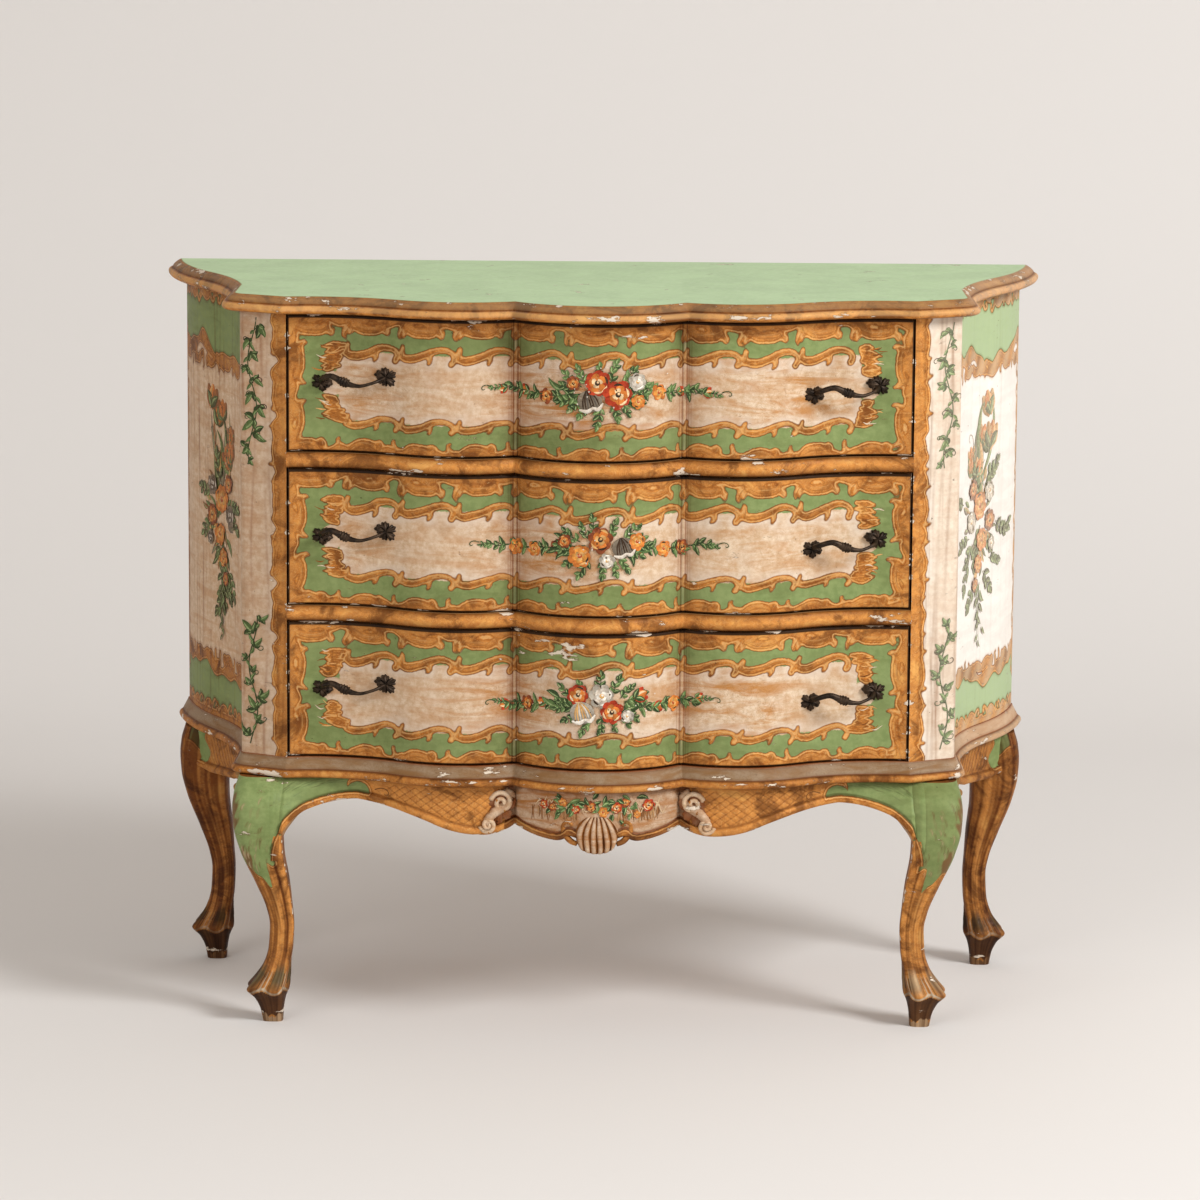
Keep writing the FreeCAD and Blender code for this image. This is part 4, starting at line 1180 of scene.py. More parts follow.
def bouquet(s, u0, v_mid, seed, pale):
    """A tall hanging spray: long blades and ears above, blossoms at the middle, a tapering tail of leaves."""
    rng = np.random.default_rng(seed)
    upright = math.pi / 2
    ear = lin(196, 150, 96) if pale else lin(150, 92, 52)
    for k in range(11):
        a = upright + rng.normal(0, 0.16)
        x, y = u0 + rng.normal(0, 8), v_mid + rng.uniform(-10, 40)
        length, width = rng.uniform(60, 120), rng.uniform(3.0, 5.0)
        light = OCHRE if k % 4 == 3 else LEAF_LIGHT
        blade(s, x, y, a, length, width, (GREY, LEAF, LEAF_DARK, ear)[k % 4], light, rng)
    for _ in range(7):
        x, y = u0 + rng.normal(0, 24), v_mid + rng.uniform(40, 125)
        bud(s, x, y, upright + rng.normal(0, 0.3), rng.uniform(22, 34), (ear, ORANGE, OCHRE, INK), rng)
    for side in (-1, 1):
        lean, size = rng.normal(0, 0.2), rng.uniform(26, 36)
        tendril(s, u0 + side * 24, v_mid + 70, upright + lean, size, side, GREY)
    for k in range(34):
        a = rng.uniform(0, 2 * math.pi)
        x = u0 + 42 * math.cos(a) * rng.uniform(0.3, 1)
        y = v_mid - 8 + 62 * math.sin(a) * rng.uniform(0.3, 1)
        length, width = rng.uniform(14, 30), rng.uniform(2.2, 4.2)
        color = (ear, GREY, LEAF, OCHRE, LEAF_DARK)[k % 5]
        blade(s, x, y, math.atan2(y - v_mid + 20, 1.6 * (x - u0)), length, width, color, LEAF_LIGHT, rng)
    for _ in range(15):
        y = v_mid + rng.uniform(-110, 45)
        x = u0 + rng.normal(0, 26) * (1.0 if y > v_mid - 60 else 0.55)
        a = math.atan2(y - v_mid - 5, (x - u0) * 2.2) + rng.normal(0, 0.35)
        sprig(s, x, y, a, rng.uniform(26, 40), rng, 4.0)
    for k, (dx, dy, r) in enumerate(BOUQUET_BLOOMS):
        colors = (MARIGOLD, BRICK, SNOW if pale else ASH)[k % 3]
        bloom(s, u0 + 1.5 * dx, v_mid + dy, 0.92 * r, colors, rng)
    s.brush([(u0, v_mid - 90), (u0 + 3, v_mid - 130), (u0 - 2, v_mid - 168)], [1.2, 0.9, 0.4], LEAF_DARK)
    for k in range(10):
        a = -upright + (-1) ** k * 0.65
        leaf(s, u0 + rng.normal(0, 3), v_mid - 92 - 8 * k, a, 20 - k, 3.6 - 0.2 * k, rng)


def panel_canvas(u, v, side):
    look = PANEL_LOOK[side]
    c = Canvas(u, v)
    rng = np.random.default_rng(look["seed"])
    end, high = u[-1], v[-1]
    sway = 11 * np.sin(c.U / 33 + side) + 6 * np.sin(c.U / 13.0)
    low, top = 66 + 0.6 * sway, high - 82 + sway
    c.panel = np.maximum(low - c.V, c.V - top)
    bands = np.minimum(np.abs(c.V - top) - 9.0, np.abs(c.V - low) - 8.0)
    c.gold = bands - 3.5 * np.sin(c.U / 7.5 + c.V / 19)
    borders = ((FOOT_UNITS, (0, high - 84), (end, high - 84), (0, -1), 46, 1.3, None),
               (FOOT_UNITS, (0, 66), (end, 66), (0, 1), 46, 1.3, None),
               (LOBE_UNITS, (0, high), (end, high), (0, -1), 44, 0.9, 7),
               (LOBE_UNITS, (0, 40), (0, high - 60), (1, 0), 60, 0.8, 4),
               (LOBE_UNITS, (0, 0), (end, 0), (0, 1), 50, 0.85, 9))
    for units, start, stop, inward, period, depth, base in borders:
        along_edge(c, units, start, stop, inward, period, rng, depth, base, 0.5)
    c.glaze[:] = look["glaze"]
    c.wear = 0.4 * np.exp(-np.minimum(c.U, end - c.U) / 4.0)
    # Painted shade: tone set by side, the left panel darker
    c.tone = look["tone"] + np.where(c.gold < 3, look["rim"], 0.0)
    streaks(c, rng, 60, look["streaks"])
    # Painted light on the right panel
    if side > 0:
        paint_light_on_panel(c)
    return c


def paint_light_on_panel(c):
    """The lit side: its cream, green and gold are painted paler, as painted light."""
    cream = c.panel < 0
    c.rgb[..., :3] = np.where(cream[..., None], lin(236, 232, 227), lin(196, 214, 176))
    inside = np.clip(np.abs(c.panel) / 6, 0, 1) * np.clip(c.gold / 2, 0, 1)
    c.rgb[..., 3] = np.where(cream, 0.82, 0.50) * inside
    pale_gold_share = np.clip(0.50 + 0.22 * np.sin(c.U / 6.0 + c.V / 9.0), 0, 0.75)
    # Painted light: the gold paled in a mottled way
    c.lay(c.gold < -1.6, lin(214, 186, 152), pale_gold_share)


def side_panel(side):
    outer, ahead = (right_path(g, 0, 2, PANEL_STEP) for g in (0.0, 1.0))
    lift = ahead - outer
    u, v = run_length(outer), np.linspace(0, TOP_UNDER - CASE_FLOOR, PANEL_ROWS)
    c = panel_canvas(u, v, side)
    s = Spray(placer(outer, lift, u, v, c.relief, CASE_FLOOR, side), side > 0, PANEL_LOOK[side]["veil"])
    bouquet(s, u[-1] * 0.56, v[-1] * 0.50, PANEL_LOOK[side]["bouquet"], side > 0)
    s.finish(SIDE_WORD[side] + "side_bouquet", "case", "painted_panel")
    case_side(side, "side_panel", outer, lift, outer - lift * PANEL_THICK, c)


for side in (-1, 1):
    post(side)
    side_panel(side)


# Mouldings that run round the case
MOULDING_STEP = 2.0
# Painted light: the right ends of the mouldings are painted paler between these x
END_LIGHT_FROM = 428
END_LIGHT_TO = 462
END_LIGHT_COLOR = np.array(lin(224, 198, 166))
# A profile has rows of (height share, projection share), and tints of (panel, gold, tone, wear, glaze).
# Its covers are (first row, row after the last, colour).
TOP_PROFILE = [
    (0.00, 0.30), (0.00, 0.74), (0.03, 0.83), (0.08, 0.92), (0.16, 0.985), (0.27, 1.00), (0.38, 0.97),
    (0.46, 0.91), (0.52, 0.82), (0.545, 0.755), (0.58, 0.73), (0.63, 0.71), (0.72, 0.645), (0.82, 0.54),
    (0.91, 0.42), (0.965, 0.335), (0.99, 0.27), (1.0, 0.21), (1.0, 0.10)]
# Darker tone on the underside rows and in the quirk above the bead is painted shade
TOP_TINTS = [(8, -6, 0.6, 0.0, 0.4)] * 3 + [(8, -5, 0.12, 0.5, 0.5)] * 5 + [
    (8, -5, 0.6, 0.3, 0.5), (8, -5, 0.95, 0.1, 0.5), (8, -6, 0.85, 0.2, 0.9), (8, -6, 0.66, 0.3, 0.9),
    (8, -6, 0.5, 0.50, 0.9), (8, -6, 0.45, 0.56, 0.8), (8, -6, 0.55, 0.58, 0.8), (8, -6, 0.5, 0.6, 0.6),
    (8, 2, 0.35, 0.6, 0.5), (8, 8, 0.0, 0.02, 0.5), (8, 8, 0.0, 0.0, 0.5)]
# The pale gold over rows 5 to 8 is a painted highlight on the upper bead, and the green of the top is painted
# paler than the front's: painted light
TOP_COVERS = [(5, 8, lin(220, 176, 118) + (0.45,)), (11, 15, lin(170, 146, 112) + (0.45,)),
              (17, 19, lin(177, 201, 159) + (0.94,))]
TOP_PROJECTION = 22.0
TOP_BACK = 18.0
WAIST_PROFILE = [
    (0.0, -0.9), (0.0, 0.52), (0.03, 0.75), (0.07, 0.91), (0.12, 1.0), (0.19, 1.0), (0.25, 0.97),
    (0.30, 0.92), (0.35, 0.83), (0.39, 0.72), (0.42, 0.64), (0.46, 0.60), (0.55, 0.52), (0.68, 0.38),
    (0.80, 0.26), (0.90, 0.16), (0.96, 0.12), (1.0, 0.10), (1.0, -0.9)]
# Darker tone on the underside rows, in the hollow between bead and cove and where the moulding meets the case
# is painted shade
WAIST_TINTS = [(8, -6, 0.7, 0.0, 0.5)] * 3 + [(8, -5, 0.35, 0.62, 0.5)] * 5 + [
    (8, -5, 0.55, 0.35, 0.5), (8, -5, 0.9, 0.1, 0.5), (-8, 8, 1.0, 0.1, 1.0), (-8, 8, 0.6, 0.3, 1.0)] + [
    (-8, 8, 0.42, 0.45, 1.0)] * 3 + [
    (-8, 6, 0.5, 0.5, 0.9), (-8, 4, 0.7, 0.4, 0.9), (-8, 4, 0.95, 0.1, 0.9), (-8, 4, 1.0, 0.0, 0.9)]
WAIST_COVERS = [(10, 17, lin(128, 110, 80) + (0.64,))]
WAIST_PROJECTION = 13.0
WELL = [(391.0, -106.0), (391.0, -33.0), (486.0, 187.0), (-486.0, 187.0), (-391.0, -33.0), (-391.0, -106.0)]


def moulding_paint(verts, level, last, covers, end_light):
    """Covers on some rows, and a right end painted paler as painted light."""
    paint = np.zeros((len(level), 4))
    for low, high, color in covers:
        paint[(level >= low) & (level < high)] = color
    lit_share = (share_of(verts[:, 0], END_LIGHT_FROM, END_LIGHT_TO) * ((level > 2) & (level < last - 1)))[:, None]
    paint[:, :3] = np.where(paint[:, 3:] > 0, paint[:, :3] * (1 - lit_share) + END_LIGHT_COLOR * lit_share, END_LIGHT_COLOR)
    paint[:, 3] = np.maximum(paint[:, 3], end_light * lit_share[:, 0])
    return paint


def moulding(name, z0, height, projection, back_grow, profile, tints, covers, end_light, well=()):
    """A profile swept round the case and closed above, below and behind; a well goes through it."""
    paths = [around(projection * out, MOULDING_STEP, back_grow) for _, out in profile]
    rows = [level_path(path, z0 + height * up) for path, (up, _) in zip(paths, profile)]
    grid = np.stack(rows)[:, ::-1]
    n, m = grid.shape[:2]
    verts = [grid.reshape(-1, 3), grid[:, [-1, 0]].reshape(-1, 3)]
    faces = quads(n, m) + quads(n, 2, n * m)
    count = n * m + 2 * n
    for row, up in ((grid[-1], True), (grid[0], False)):
        loops = [row] + ([level_path(np.array(well), row[0, 2])] if well else [])
        flat = np.vstack(loops)
        for a, b, c in tessellate_polygon([[Vector(p) for p in loop] for loop in loops]):
            faces_up = np.cross(flat[b] - flat[a], flat[c] - flat[a])[2] > 0
            faces.append(tuple(count + k for k in ((a, b, c) if faces_up == up else (a, c, b))))
        verts.append(flat)
        count += len(flat)
    lid, corners = len(flat), len(well)
    high, low = count - lid - corners, count - corners
    for i in range(corners):
        j = (i + 1) % corners
        faces.append((high + i, high + j, low + j, low + i))
    verts = np.vstack(verts)
    steps = np.arange(n)
    lids = [np.full(lid, n - 1), np.zeros(lid, int)]
    level = np.concatenate([np.repeat(steps, m), np.repeat(steps, 2), *lids])
    panel, gold, tone, wear, glaze = np.array(tints, float)[level].T
    fields = {"panel": panel, "gold": gold, "paint": moulding_paint(verts, level, n - 1, covers, end_light),
              "trim": np.column_stack([tone, wear, glaze, np.zeros(len(level))])}
    dress(new_object(name + "_painted", verts, faces, PAINTED), fields, [name], "case")


moulding("top", TOP_UNDER, TOP_Z - TOP_UNDER, TOP_PROJECTION, TOP_BACK,
         TOP_PROFILE, TOP_TINTS, TOP_COVERS, 0.35)
moulding("waist_moulding", LEG_TOP, CASE_FLOOR - LEG_TOP, WAIST_PROJECTION, 0.0,
         WAIST_PROFILE, WAIST_TINTS, WAIST_COVERS, 0.62, WELL)

# Rails between the drawers
RAIL_H = 18.0
RAIL_DOWN = 19.8
RAIL_NOSE = 8.0
RAIL_BACK = -81.0
RAIL_STEP = 2.0


def divider_rail(name, floor):
    turns = [math.pi * t for t in np.linspace(0, 1, 17)]
    share = np.array([0.5 - 0.5 * math.cos(t) for t in turns])
    rows = [front_path(RAIL_NOSE * (0.10 + 0.88 * math.sin(t) ** 0.62), OPENING, RAIL_STEP) for t in turns]
    z = floor - RAIL_DOWN
    grid = np.stack([level_path(p, z + RAIL_H * up) for p, up in zip(rows, share)])
    c = Canvas(run_length(rows[8]), RAIL_H * share, 8.0, -6.0)
    # Painted shade and painted highlight: darker towards the top and bottom of the rounded rail, lightest
    # along its middle
    c.tone += 0.85 * np.abs(2 * share[:, None] - 1.05) ** 1.3 - 0.03
    c.wear[:] = 0.38
    c.glaze[:] = 0.5
    rear = np.column_stack([rows[0][:, 0], np.full(len(rows[0]), RAIL_BACK)])
    inner = [level_path(rear, z + up) for up in (0.0, RAIL_H)]
    painted_piece(name + "_divider_painted", "case", [name + "_divider_rail"], grid, c, inner)


divider_rail("upper", FLOORS["upper"])
divider_rail("middle", FLOORS["middle"])

# Legs: rounded sections along a cabriole line, with a carved foot; rows are height, half width, lean and tuck
LEG_SHARES = np.array([
    (0, .385, .40, 0), (.05, .45, .44, 0), (.097, .59, .52, 0), (.136, .74, .64, 0), (.162, .68, .52, 0),
    (.195, .58, .35, 0), (.23, .51, .22, 0), (.30, .47, .05, 0), (.389, .465, 0, 0), (.457, .50, .10, 0),
    (.571, .655, .41, 0), (.711, .845, .86, 0), (.811, .96, 1, 0), (.883, 1, 1, .05), (.941, .985, .95, .35),
    (1, .92, .82, 1)])
FRONT_LEG = (388.0, -132.0, 35.0, 33.0, 22.0)
REAR_LEG = (484.0, 186.0, 12.0, 23.0, 0.0)
LEG_HALF = 32.0
LEG_SQUARENESS = 3.4
LEG_ROUND = 20.0
FOOT_TOP = 80
# The left front foot's leaves are darker than the right's: painted shade
MOSS = {-1: lin(116, 112, 84), 1: lin(176, 152, 118)}
GREEN_STROKES = (lin(96, 112, 62), lin(148, 166, 112), lin(92, 72, 42), lin(206, 186, 148))


def eased(x, xs, ys):
    """Smooth interpolation that does not overshoot its points."""
    d = np.diff(ys) / np.diff(xs)
    both = np.where(d[:-1] * d[1:] > 0, 2 * d[:-1] * d[1:] / (d[:-1] + d[1:] + 1e-12), 0)
    m = np.concatenate([[d[0]], both, [d[-1]]])
    k = np.clip(np.searchsorted(xs, x) - 1, 0, len(d) - 1)
    h = xs[k + 1] - xs[k]
    t = (x - xs[k]) / h
    return ((1 + 2 * t) * (1 - t) ** 2 * ys[k] + t * (1 - t) ** 2 * h * m[k]
            + t * t * (3 - 2 * t) * ys[k + 1] + t * t * (t - 1) * h * m[k + 1])


def leg_line(spot, share):
    """The width share of a leg and the x and y of its centre, at shares of its height."""
    x0, y0, heading, sway, tuck = spot
    width, lean, back = (eased(share, LEG_SHARES[:, 0], LEG_SHARES[:, k]) for k in (1, 2, 3))
    a = math.radians(heading)
    return width, x0 + sway * lean * math.cos(a), y0 - sway * lean * math.sin(a) + tuck * back


def leg_front(x, z):
    """The y of the front of a front leg at height z."""
    width, cx, cy = leg_line(FRONT_LEG, np.clip(z / LEG_TOP, 0, 1))
    half = LEG_HALF * width
    return cy - half * np.clip(1 - (np.abs(x - cx) / half) ** LEG_SQUARENESS, 0.02, 1) ** (1 / LEG_SQUARENESS)


def angle_from(T, share):
    """How far a direction is from a share of half a turn."""
    return np.abs(np.angle(np.exp(1j * (T - share * math.pi))))


def gild_leg(c, T, Z, toe, side, seed):
    """Gold with a streaky grain and rubbed edges; the outer and inner sides and the whole left leg are
    darker, painted shade, and a painted sheen runs down the front.
    """
    broad = np.sin(7 * T + 1.6 * np.sin(Z / 71 + seed)) * np.sin(Z / 83 + 2.0 * np.cos(2 * T) + seed)
    close = np.sin(23 * T + 2.0 * np.sin(Z / 47)) * np.sin(Z / 61 + 7 * T)
    grain = np.clip(broad + 0.7 * close, -1, 1.4)
    c.glaze[:] = 0.6
    c.tone = (0.50 if side < 0 else 0.36) + 0.34 * grain + 0.45 * np.abs(np.cos(T)) ** 5
    c.wear = 0.16 * bell(angle_from(T, -0.25), 0.14) + 0.34 * toe + 0.95 * bell(12 - Z, 5) * (Z < 20)
    sheen = bell(T + 0.50 * math.pi + 0.12 * np.sin(Z / 33), 0.20)
    sheen = sheen * (0.5 + 0.5 * np.sin(Z / 13 + 3 * np.sin(11 * T))) * share_of(Z, 78, 103)
    c.rgb[..., :3] = lin(226, 168, 98)
    c.rgb[..., 3] = 0.45 * sheen * share_of(-Z, -215, -190)


def paint_knee(c, T, Z, fade, side, seed):
    """Green above a shaped edge, with a gilt bead, worn places and short strokes."""
    turn = (T + 0.75 * math.pi) / (0.5 * math.pi)
    edge = np.interp(turn, [-2, 0.0, 0.42, 0.50, 0.60, 0.95, 1.6, 3],
                     [201, 201, 203, 172, 174, 196, 212, 220])
    edge = edge + 2.0 * np.sin(T * 13 + seed)
    bead = np.where((T < -0.665 * math.pi) & (Z < 240), (-0.665 * math.pi - T) * 30, -9.0)
    c.gold = -np.clip(np.maximum(edge - Z, bead), -9, 9)
    c.gold = np.where(T > 0.30 * math.pi, -7.0, c.gold)
    green = c.gold > 0
    # Painted shade in the groove beside the bead, and a painted highlight along the bead
    groove = bell(T + 0.66 * math.pi, 0.06) * fade * (Z < 236)
    c.tone = np.where(green, 0.08 if side < 0 else 0.20, c.tone) + 0.55 * groove
    c.tone = c.tone - 0.5 * bell(T + 0.75 * math.pi, 0.16) * (c.gold < 0) * fade
    c.wear = np.where(green, 0.10, c.wear) + 0.85 * bell(T + 0.80 * math.pi, 0.09) * fade
    worn = bell(T + 0.18 * math.pi, 0.40) * bell(Z - 262, 26)
    worn = worn + bell(T + 0.27 * math.pi, 0.25) * bell(Z - 208, 16)
    worn = worn * (0.6 + 0.5 * np.sin(9 * T + Z / 5) * np.sin(Z / 7 + 3 * T))
    c.lay(green, lin(122, 88, 56), 0.9 * share_of(worn, 0.22, 0.34))
    rng = np.random.default_rng(seed)
    for k in range(54):
        t0, z0 = rng.uniform(-2.0, -0.2), rng.uniform(196, 292)
        falls = ((0, 0), (0.07, 4), (0.1, rng.uniform(7, 14)))
        p = [((t0 + across + math.pi) * LEG_ROUND, z0 - fall) for across, fall in falls]
        c.brush(p, [0.15, 0.6, 0.15], GREEN_STROKES[k % 4], 0.8)


def paint_foot(c, T, Z, spoke, leaves, side, front, seed):
    """Mossy carved leaves with pale veins and dark folds, a dark peg below them and a worn sole."""
    moss = leaves * (0.35 + 0.65 * (np.cos(5 * spoke) > 0.1)) * (Z > 40)
    moss = np.clip(moss * 1.5 - 0.42, 0, 0.85)
    c.lay(moss > c.rgb[..., 3], MOSS[side] if front else lin(74, 62, 38), moss)
    lobes = np.abs(np.cos(2.5 * spoke))
    veins = bell(lobes - 0.30, 0.10) * bell(Z - 52, 13) + bell(Z - 41 + 3.0 * np.cos(5 * spoke), 1.6)
    c.lay_over(np.clip(veins * 1.7 - 0.25, 0, 0.95) * (1.0 if front else 0.6), 0.3, lin(214, 198, 172))
    folds = bell(lobes - 0.62, 0.07) * np.clip(1 - np.abs(Z - 54) / 15, 0, 1)
    peg = np.clip((39 - 2.5 * np.cos(5 * spoke) - Z) / 2.0, 0, 1)
    peg = peg * np.clip((Z - 7 - 2 * np.sin(7 * T)) / 2.0, 0, 1)
    sole = np.clip((9 + 2.5 * np.sin(4 * T + seed) + 1.5 * np.sin(11 * T) - Z) / 2.0, 0, 1)
    sole_color = lin(176, 148, 116) if front else lin(132, 100, 70)
    zones = ((folds, lin(74, 60, 40), 0.85), (peg, lin(84, 54, 34), 0.94), (sole, sole_color, 0.9))
    for zone, color, alpha in zones:
        c.lay(zone > 0.3, color, alpha)


def leg(name, side, spot, front, seed):
    z = np.concatenate([np.linspace(0, FOOT_TOP, 78), np.linspace(FOOT_TOP + 1.5, LEG_TOP, 122)])
    width, cx, cy = leg_line(spot, z / LEG_TOP)
    theta = np.linspace(-math.pi, math.pi, 129)
    T, Z = np.meshgrid(theta, z)
    c = Canvas((theta + math.pi) * LEG_ROUND, z, 8.0, -7.0)
    spoke = T + 0.5 * math.pi + (0.35 if front else 0.2)
    toe = bell(Z - 43, 9.0)
    leaves = np.clip(1 - np.abs(Z - 58) / 20.0, 0, 1) ** 0.7
    squared = np.abs(np.cos(T)) ** LEG_SQUARENESS + np.abs(np.sin(T)) ** LEG_SQUARENESS
    r = squared ** (-1 / LEG_SQUARENESS) * LEG_HALF * width[:, None]
    r = r + (2.6 * toe + 1.6 * leaves) * np.cos(5 * spoke) + 0.8 * leaves * np.cos(10 * spoke)
    gild_leg(c, T, Z, toe, side, seed)
    if front:
        fade = share_of(Z, 75, 115)
        r = r + (2.2 * bell(angle_from(T, -0.78), 0.20) - bell(T + 0.66 * math.pi, 0.07)) * fade
        paint_knee(c, T, Z, fade, side, seed)
    else:
        # Darker on the rear legs, more on the left one; the left-right difference is painted shade
        c.tone = c.tone + (0.36 if side < 0 else 0.26)
        green = np.maximum(286 + 7 * np.sin(T * 5) - Z, 26 * (np.abs(T + 0.40 * math.pi) - 0.32))
        c.gold = -np.clip(green, -9, 9)
        c.rgb[..., 3] *= 0.6
    paint_foot(c, T, Z, spoke, leaves, side, front, seed)
    ring = np.stack([(cx[:, None] + r * np.cos(T)) * side, cy[:, None] + r * np.sin(T), Z], -1)
    if side < 0:
        ring = ring[:, ::-1]
        c.reverse()
    rows, cols = ring.shape[:2]
    n = rows * cols
    m = n + cols + 1
    foot_mid, top_mid = ([[cx[k] * side, cy[k], z[k]]] for k in (0, -1))
    verts = np.vstack([ring.reshape(-1, 3), ring[0], foot_mid, ring[-1], top_mid])
    faces = quads(rows, cols)
    faces += [(n + k + 1, n + k, n + cols) for k in range(cols - 1)]
    faces += [(m + k, m + k + 1, m + cols) for k in range(cols - 1)]
    obj = new_object(name + "_painted", verts, faces, PAINTED)
    dress(obj, canvas_fields(c, len(verts) - n, -6.0, (0.9, 0.1, 0.5, 0.0)), [name], "case")


for side, word in SIDE_WORD.items():
    leg(word + "front_leg", side, FRONT_LEG, True, 31 + side)
    leg(word + "rear_leg", side, REAR_LEG, False, 41 + side)


# Aprons: lower edges as shares of the run and of the drop, with an arc through every three points
APRON_SHARES = [(.988, 1.81), (.974, 1.16), (.893, .61), (.820, .47), (.745, .41), (.614, .56), (.514, .75),
                (.425, .93), (.350, .98), (.296, .93), (.253, .80), (.200, .92), (.130, .995), (.103, .96),
                (.085, .87), (.045, .95), (0, .97)]
SIDE_APRON_SHARES = [(0, .52), (.14, .46), (.30, .44), (.40, .49), (.47, .60), (.54, .76), (.61, .87),
                     (.75, .98), (.86, .97), (.93, .93), (1, .87)]
APRON_RUN = 394.2
APRON_DROP = 62.0
APRON_HALF = 389.0
APRON_FAR = 403.0
APRON_STEP = 1.15
APRON_ROWS = 62
APRON_INSET = 2.0
APRON_BACK = 20.0
SIDE_APRON_SPAN = (-109.5, 166.0)
SIDE_APRON_DROP = 54.0
SIDE_APRON_ROWS = 40
SIDE_APRON_THICK = 14
CARTOUCHE_HALF = 112
LATTICE_PITCH = 10.5
FLOWER_LEVEL = -18
SHADE_STROKES = (lin(150, 104, 64), lin(128, 86, 50), lin(172, 132, 90))


def edge_line(shares, run, drop):
    p = np.array(shares) * [run, -drop]
    return np.vstack([arc3(p[k], p[k + 1], p[k + 2], 40) for k in range(0, len(p) - 2, 2)])


def hanging_rows(line, x, rows):
    """The lower edge at x, and the depths of the rows between it and the top."""
    order = np.argsort(line[:, 0])
    low = np.interp(x, line[order, 0], line[order, 1])
    return low, low[None] * (1 - np.linspace(0, 1, rows)[:, None])


def widened(path):
    """The path carried on sideways at both ends, over the fronts of the legs."""
    more = np.arange(path[-1, 0] + APRON_STEP, APRON_FAR, APRON_STEP)
    tail = np.column_stack([more, np.full(len(more), path[-1, 1])])
    return np.vstack([(tail * [-1, 1])[::-1], path, tail])


def bead(edge, middle, half, height):
    """A rounded bead along an edge."""
    return height * np.sqrt(np.clip(1 - ((edge - middle) / half) ** 2, 0, 1))


def paint_apron(c, A, D, near, wing, cart):
    """Cream in the cartouche, green at the ends and gold between them and along the edge."""
    c.gold = np.where(A < CARTOUCHE_HALF, 9.0, np.where(A > 240, np.clip(wing, -9, 9), -9.0))
    c.gold = np.minimum(c.gold, near - 8.5)
    c.panel = np.where(A < 120, -9.0, 9.0)
    c.glaze = np.where(A < 120, 0.95, 0.6)
    plain = np.where(c.gold > 0, 0.05, 0.06)
    c.tone = np.where(A < CARTOUCHE_HALF, 0.42 + 0.34 * np.clip(cart / 12, 0, 1), plain)
    # Painted shade in the groove beside the bead and along the top under the waist moulding
    c.tone = c.tone + 0.6 * bell(near - 9.6, 1.1) + 0.4 * np.exp(-np.abs(D) / 4.0)
    c.tone = c.tone + 0.5 * share_of(-D, 50, 85) * (c.gold < 0)
    c.wear = np.where(c.gold > 0, 0.08, 0.16) + 0.45 * bell(near, 2.2) * (D > -80)


def carve_apron(c, A, D, near, cart, base, lift):
    """The swell towards the knees, the skin over the legs, the bead of the edge and the raised cartouche."""
    z = LEG_TOP + D
    swell = share_of(A, 285, 388)
    knee = np.interp(D, [-75, -58, -36, -18, 0], [28, 30, 29, 20, 4])
    c.relief = knee * swell ** 2 * (3 - 2 * swell)
    skin = (leg_front(A, z) - base[None, :, 1]) / lift[None, :, 1] + 0.4
    skin = skin - np.clip((A - 396) / 6, 0, 1.3) - np.clip((207 - z) / 8, 0, 1.3)
    sunk = 14 * share_of(A, 388, 402) ** 2 + 40 * share_of(-z, -246, -216)
    c.relief = np.where(A > 376, np.maximum(c.relief - sunk, skin), c.relief)
    c.relief = c.relief + share_of(z, 198, 228) * (bead(near, 4.4, 4.8, 3.6) - bell(near - 10, 1.2))
    c.relief = c.relief + 3.4 * np.clip(1 - np.maximum(cart, 0) / 6.0, 0, 1) * (A < 108)


def cut_lattice(c, A, D, field):
    """Crossing grooves in the gilt field."""
    for sign in (-1, 1):
        for k in range(-30, 60):
            off = np.abs((A - 130) * 0.80 + sign * (D + 24) * 1.1 - k * LATTICE_PITCH)
            c.relief = c.relief - field * 0.6 * bell(off, 1.1)
            c.tone = c.tone + field * 0.42 * bell(off, 0.75)


def scatter_leaves(s, rng, count, spread, drop, shortest, longest, width):
    for _ in range(count):
        x, y = rng.normal(2, spread), FLOWER_LEVEL + rng.normal(0, drop)
        leaf(s, x, y, rng.uniform(0, 6.28), rng.uniform(shortest, longest), width, rng)


def apron_flowers(base, lift, rng):
    """Shading, leaves and blossoms on the cartouche, and a tendril on each gilt field."""
    v = np.linspace(-60, 0, 40)
    s = Spray(placer(base, lift, base[:, 0], v, np.full((len(v), len(base)), 3.5), LEG_TOP))
    for k in range(70):
        x = rng.choice((-1, 1)) * rng.uniform(24, 84)
        p = [(x, -20), (x + rng.normal(0, 1.0), -27), (x + rng.normal(0, 1.5), -27 - rng.uniform(4, 12))]
        s.brush(p, [0.3, 0.8, 0.2], SHADE_STROKES[k % 3])
    for _ in range(34):
        xs, ys = np.array([-4, 0, 4]) + rng.uniform(-80, 80), -19 + rng.normal(0, 5, 3)
        s.brush(np.column_stack([xs, ys]), [0.2, 0.8, 0.2], lin(206, 178, 142))
    scatter_leaves(s, rng, 30, 34, 5, 9, 15, 2.8)
    for k, x in enumerate((-66, -52, -38, -24, -10, 6, 20, 34, 47, 60)):
        x, y = x + rng.normal(0, 2), FLOWER_LEVEL + rng.normal(0, 4)
        bloom(s, x, y, rng.uniform(4.5, 7.5), (PEONY, BRICK, MARIGOLD)[k % 3], rng, 6)
    scatter_leaves(s, rng, 14, 30, 6, 7, 11, 2.2)
    for sign in (-1, 1):
        tendril(s, sign * 270, -12, math.pi if sign > 0 else 0.0, 18, -sign, lin(104, 66, 32))
    s.finish("apron_flowers", "case", "gilded_wood")


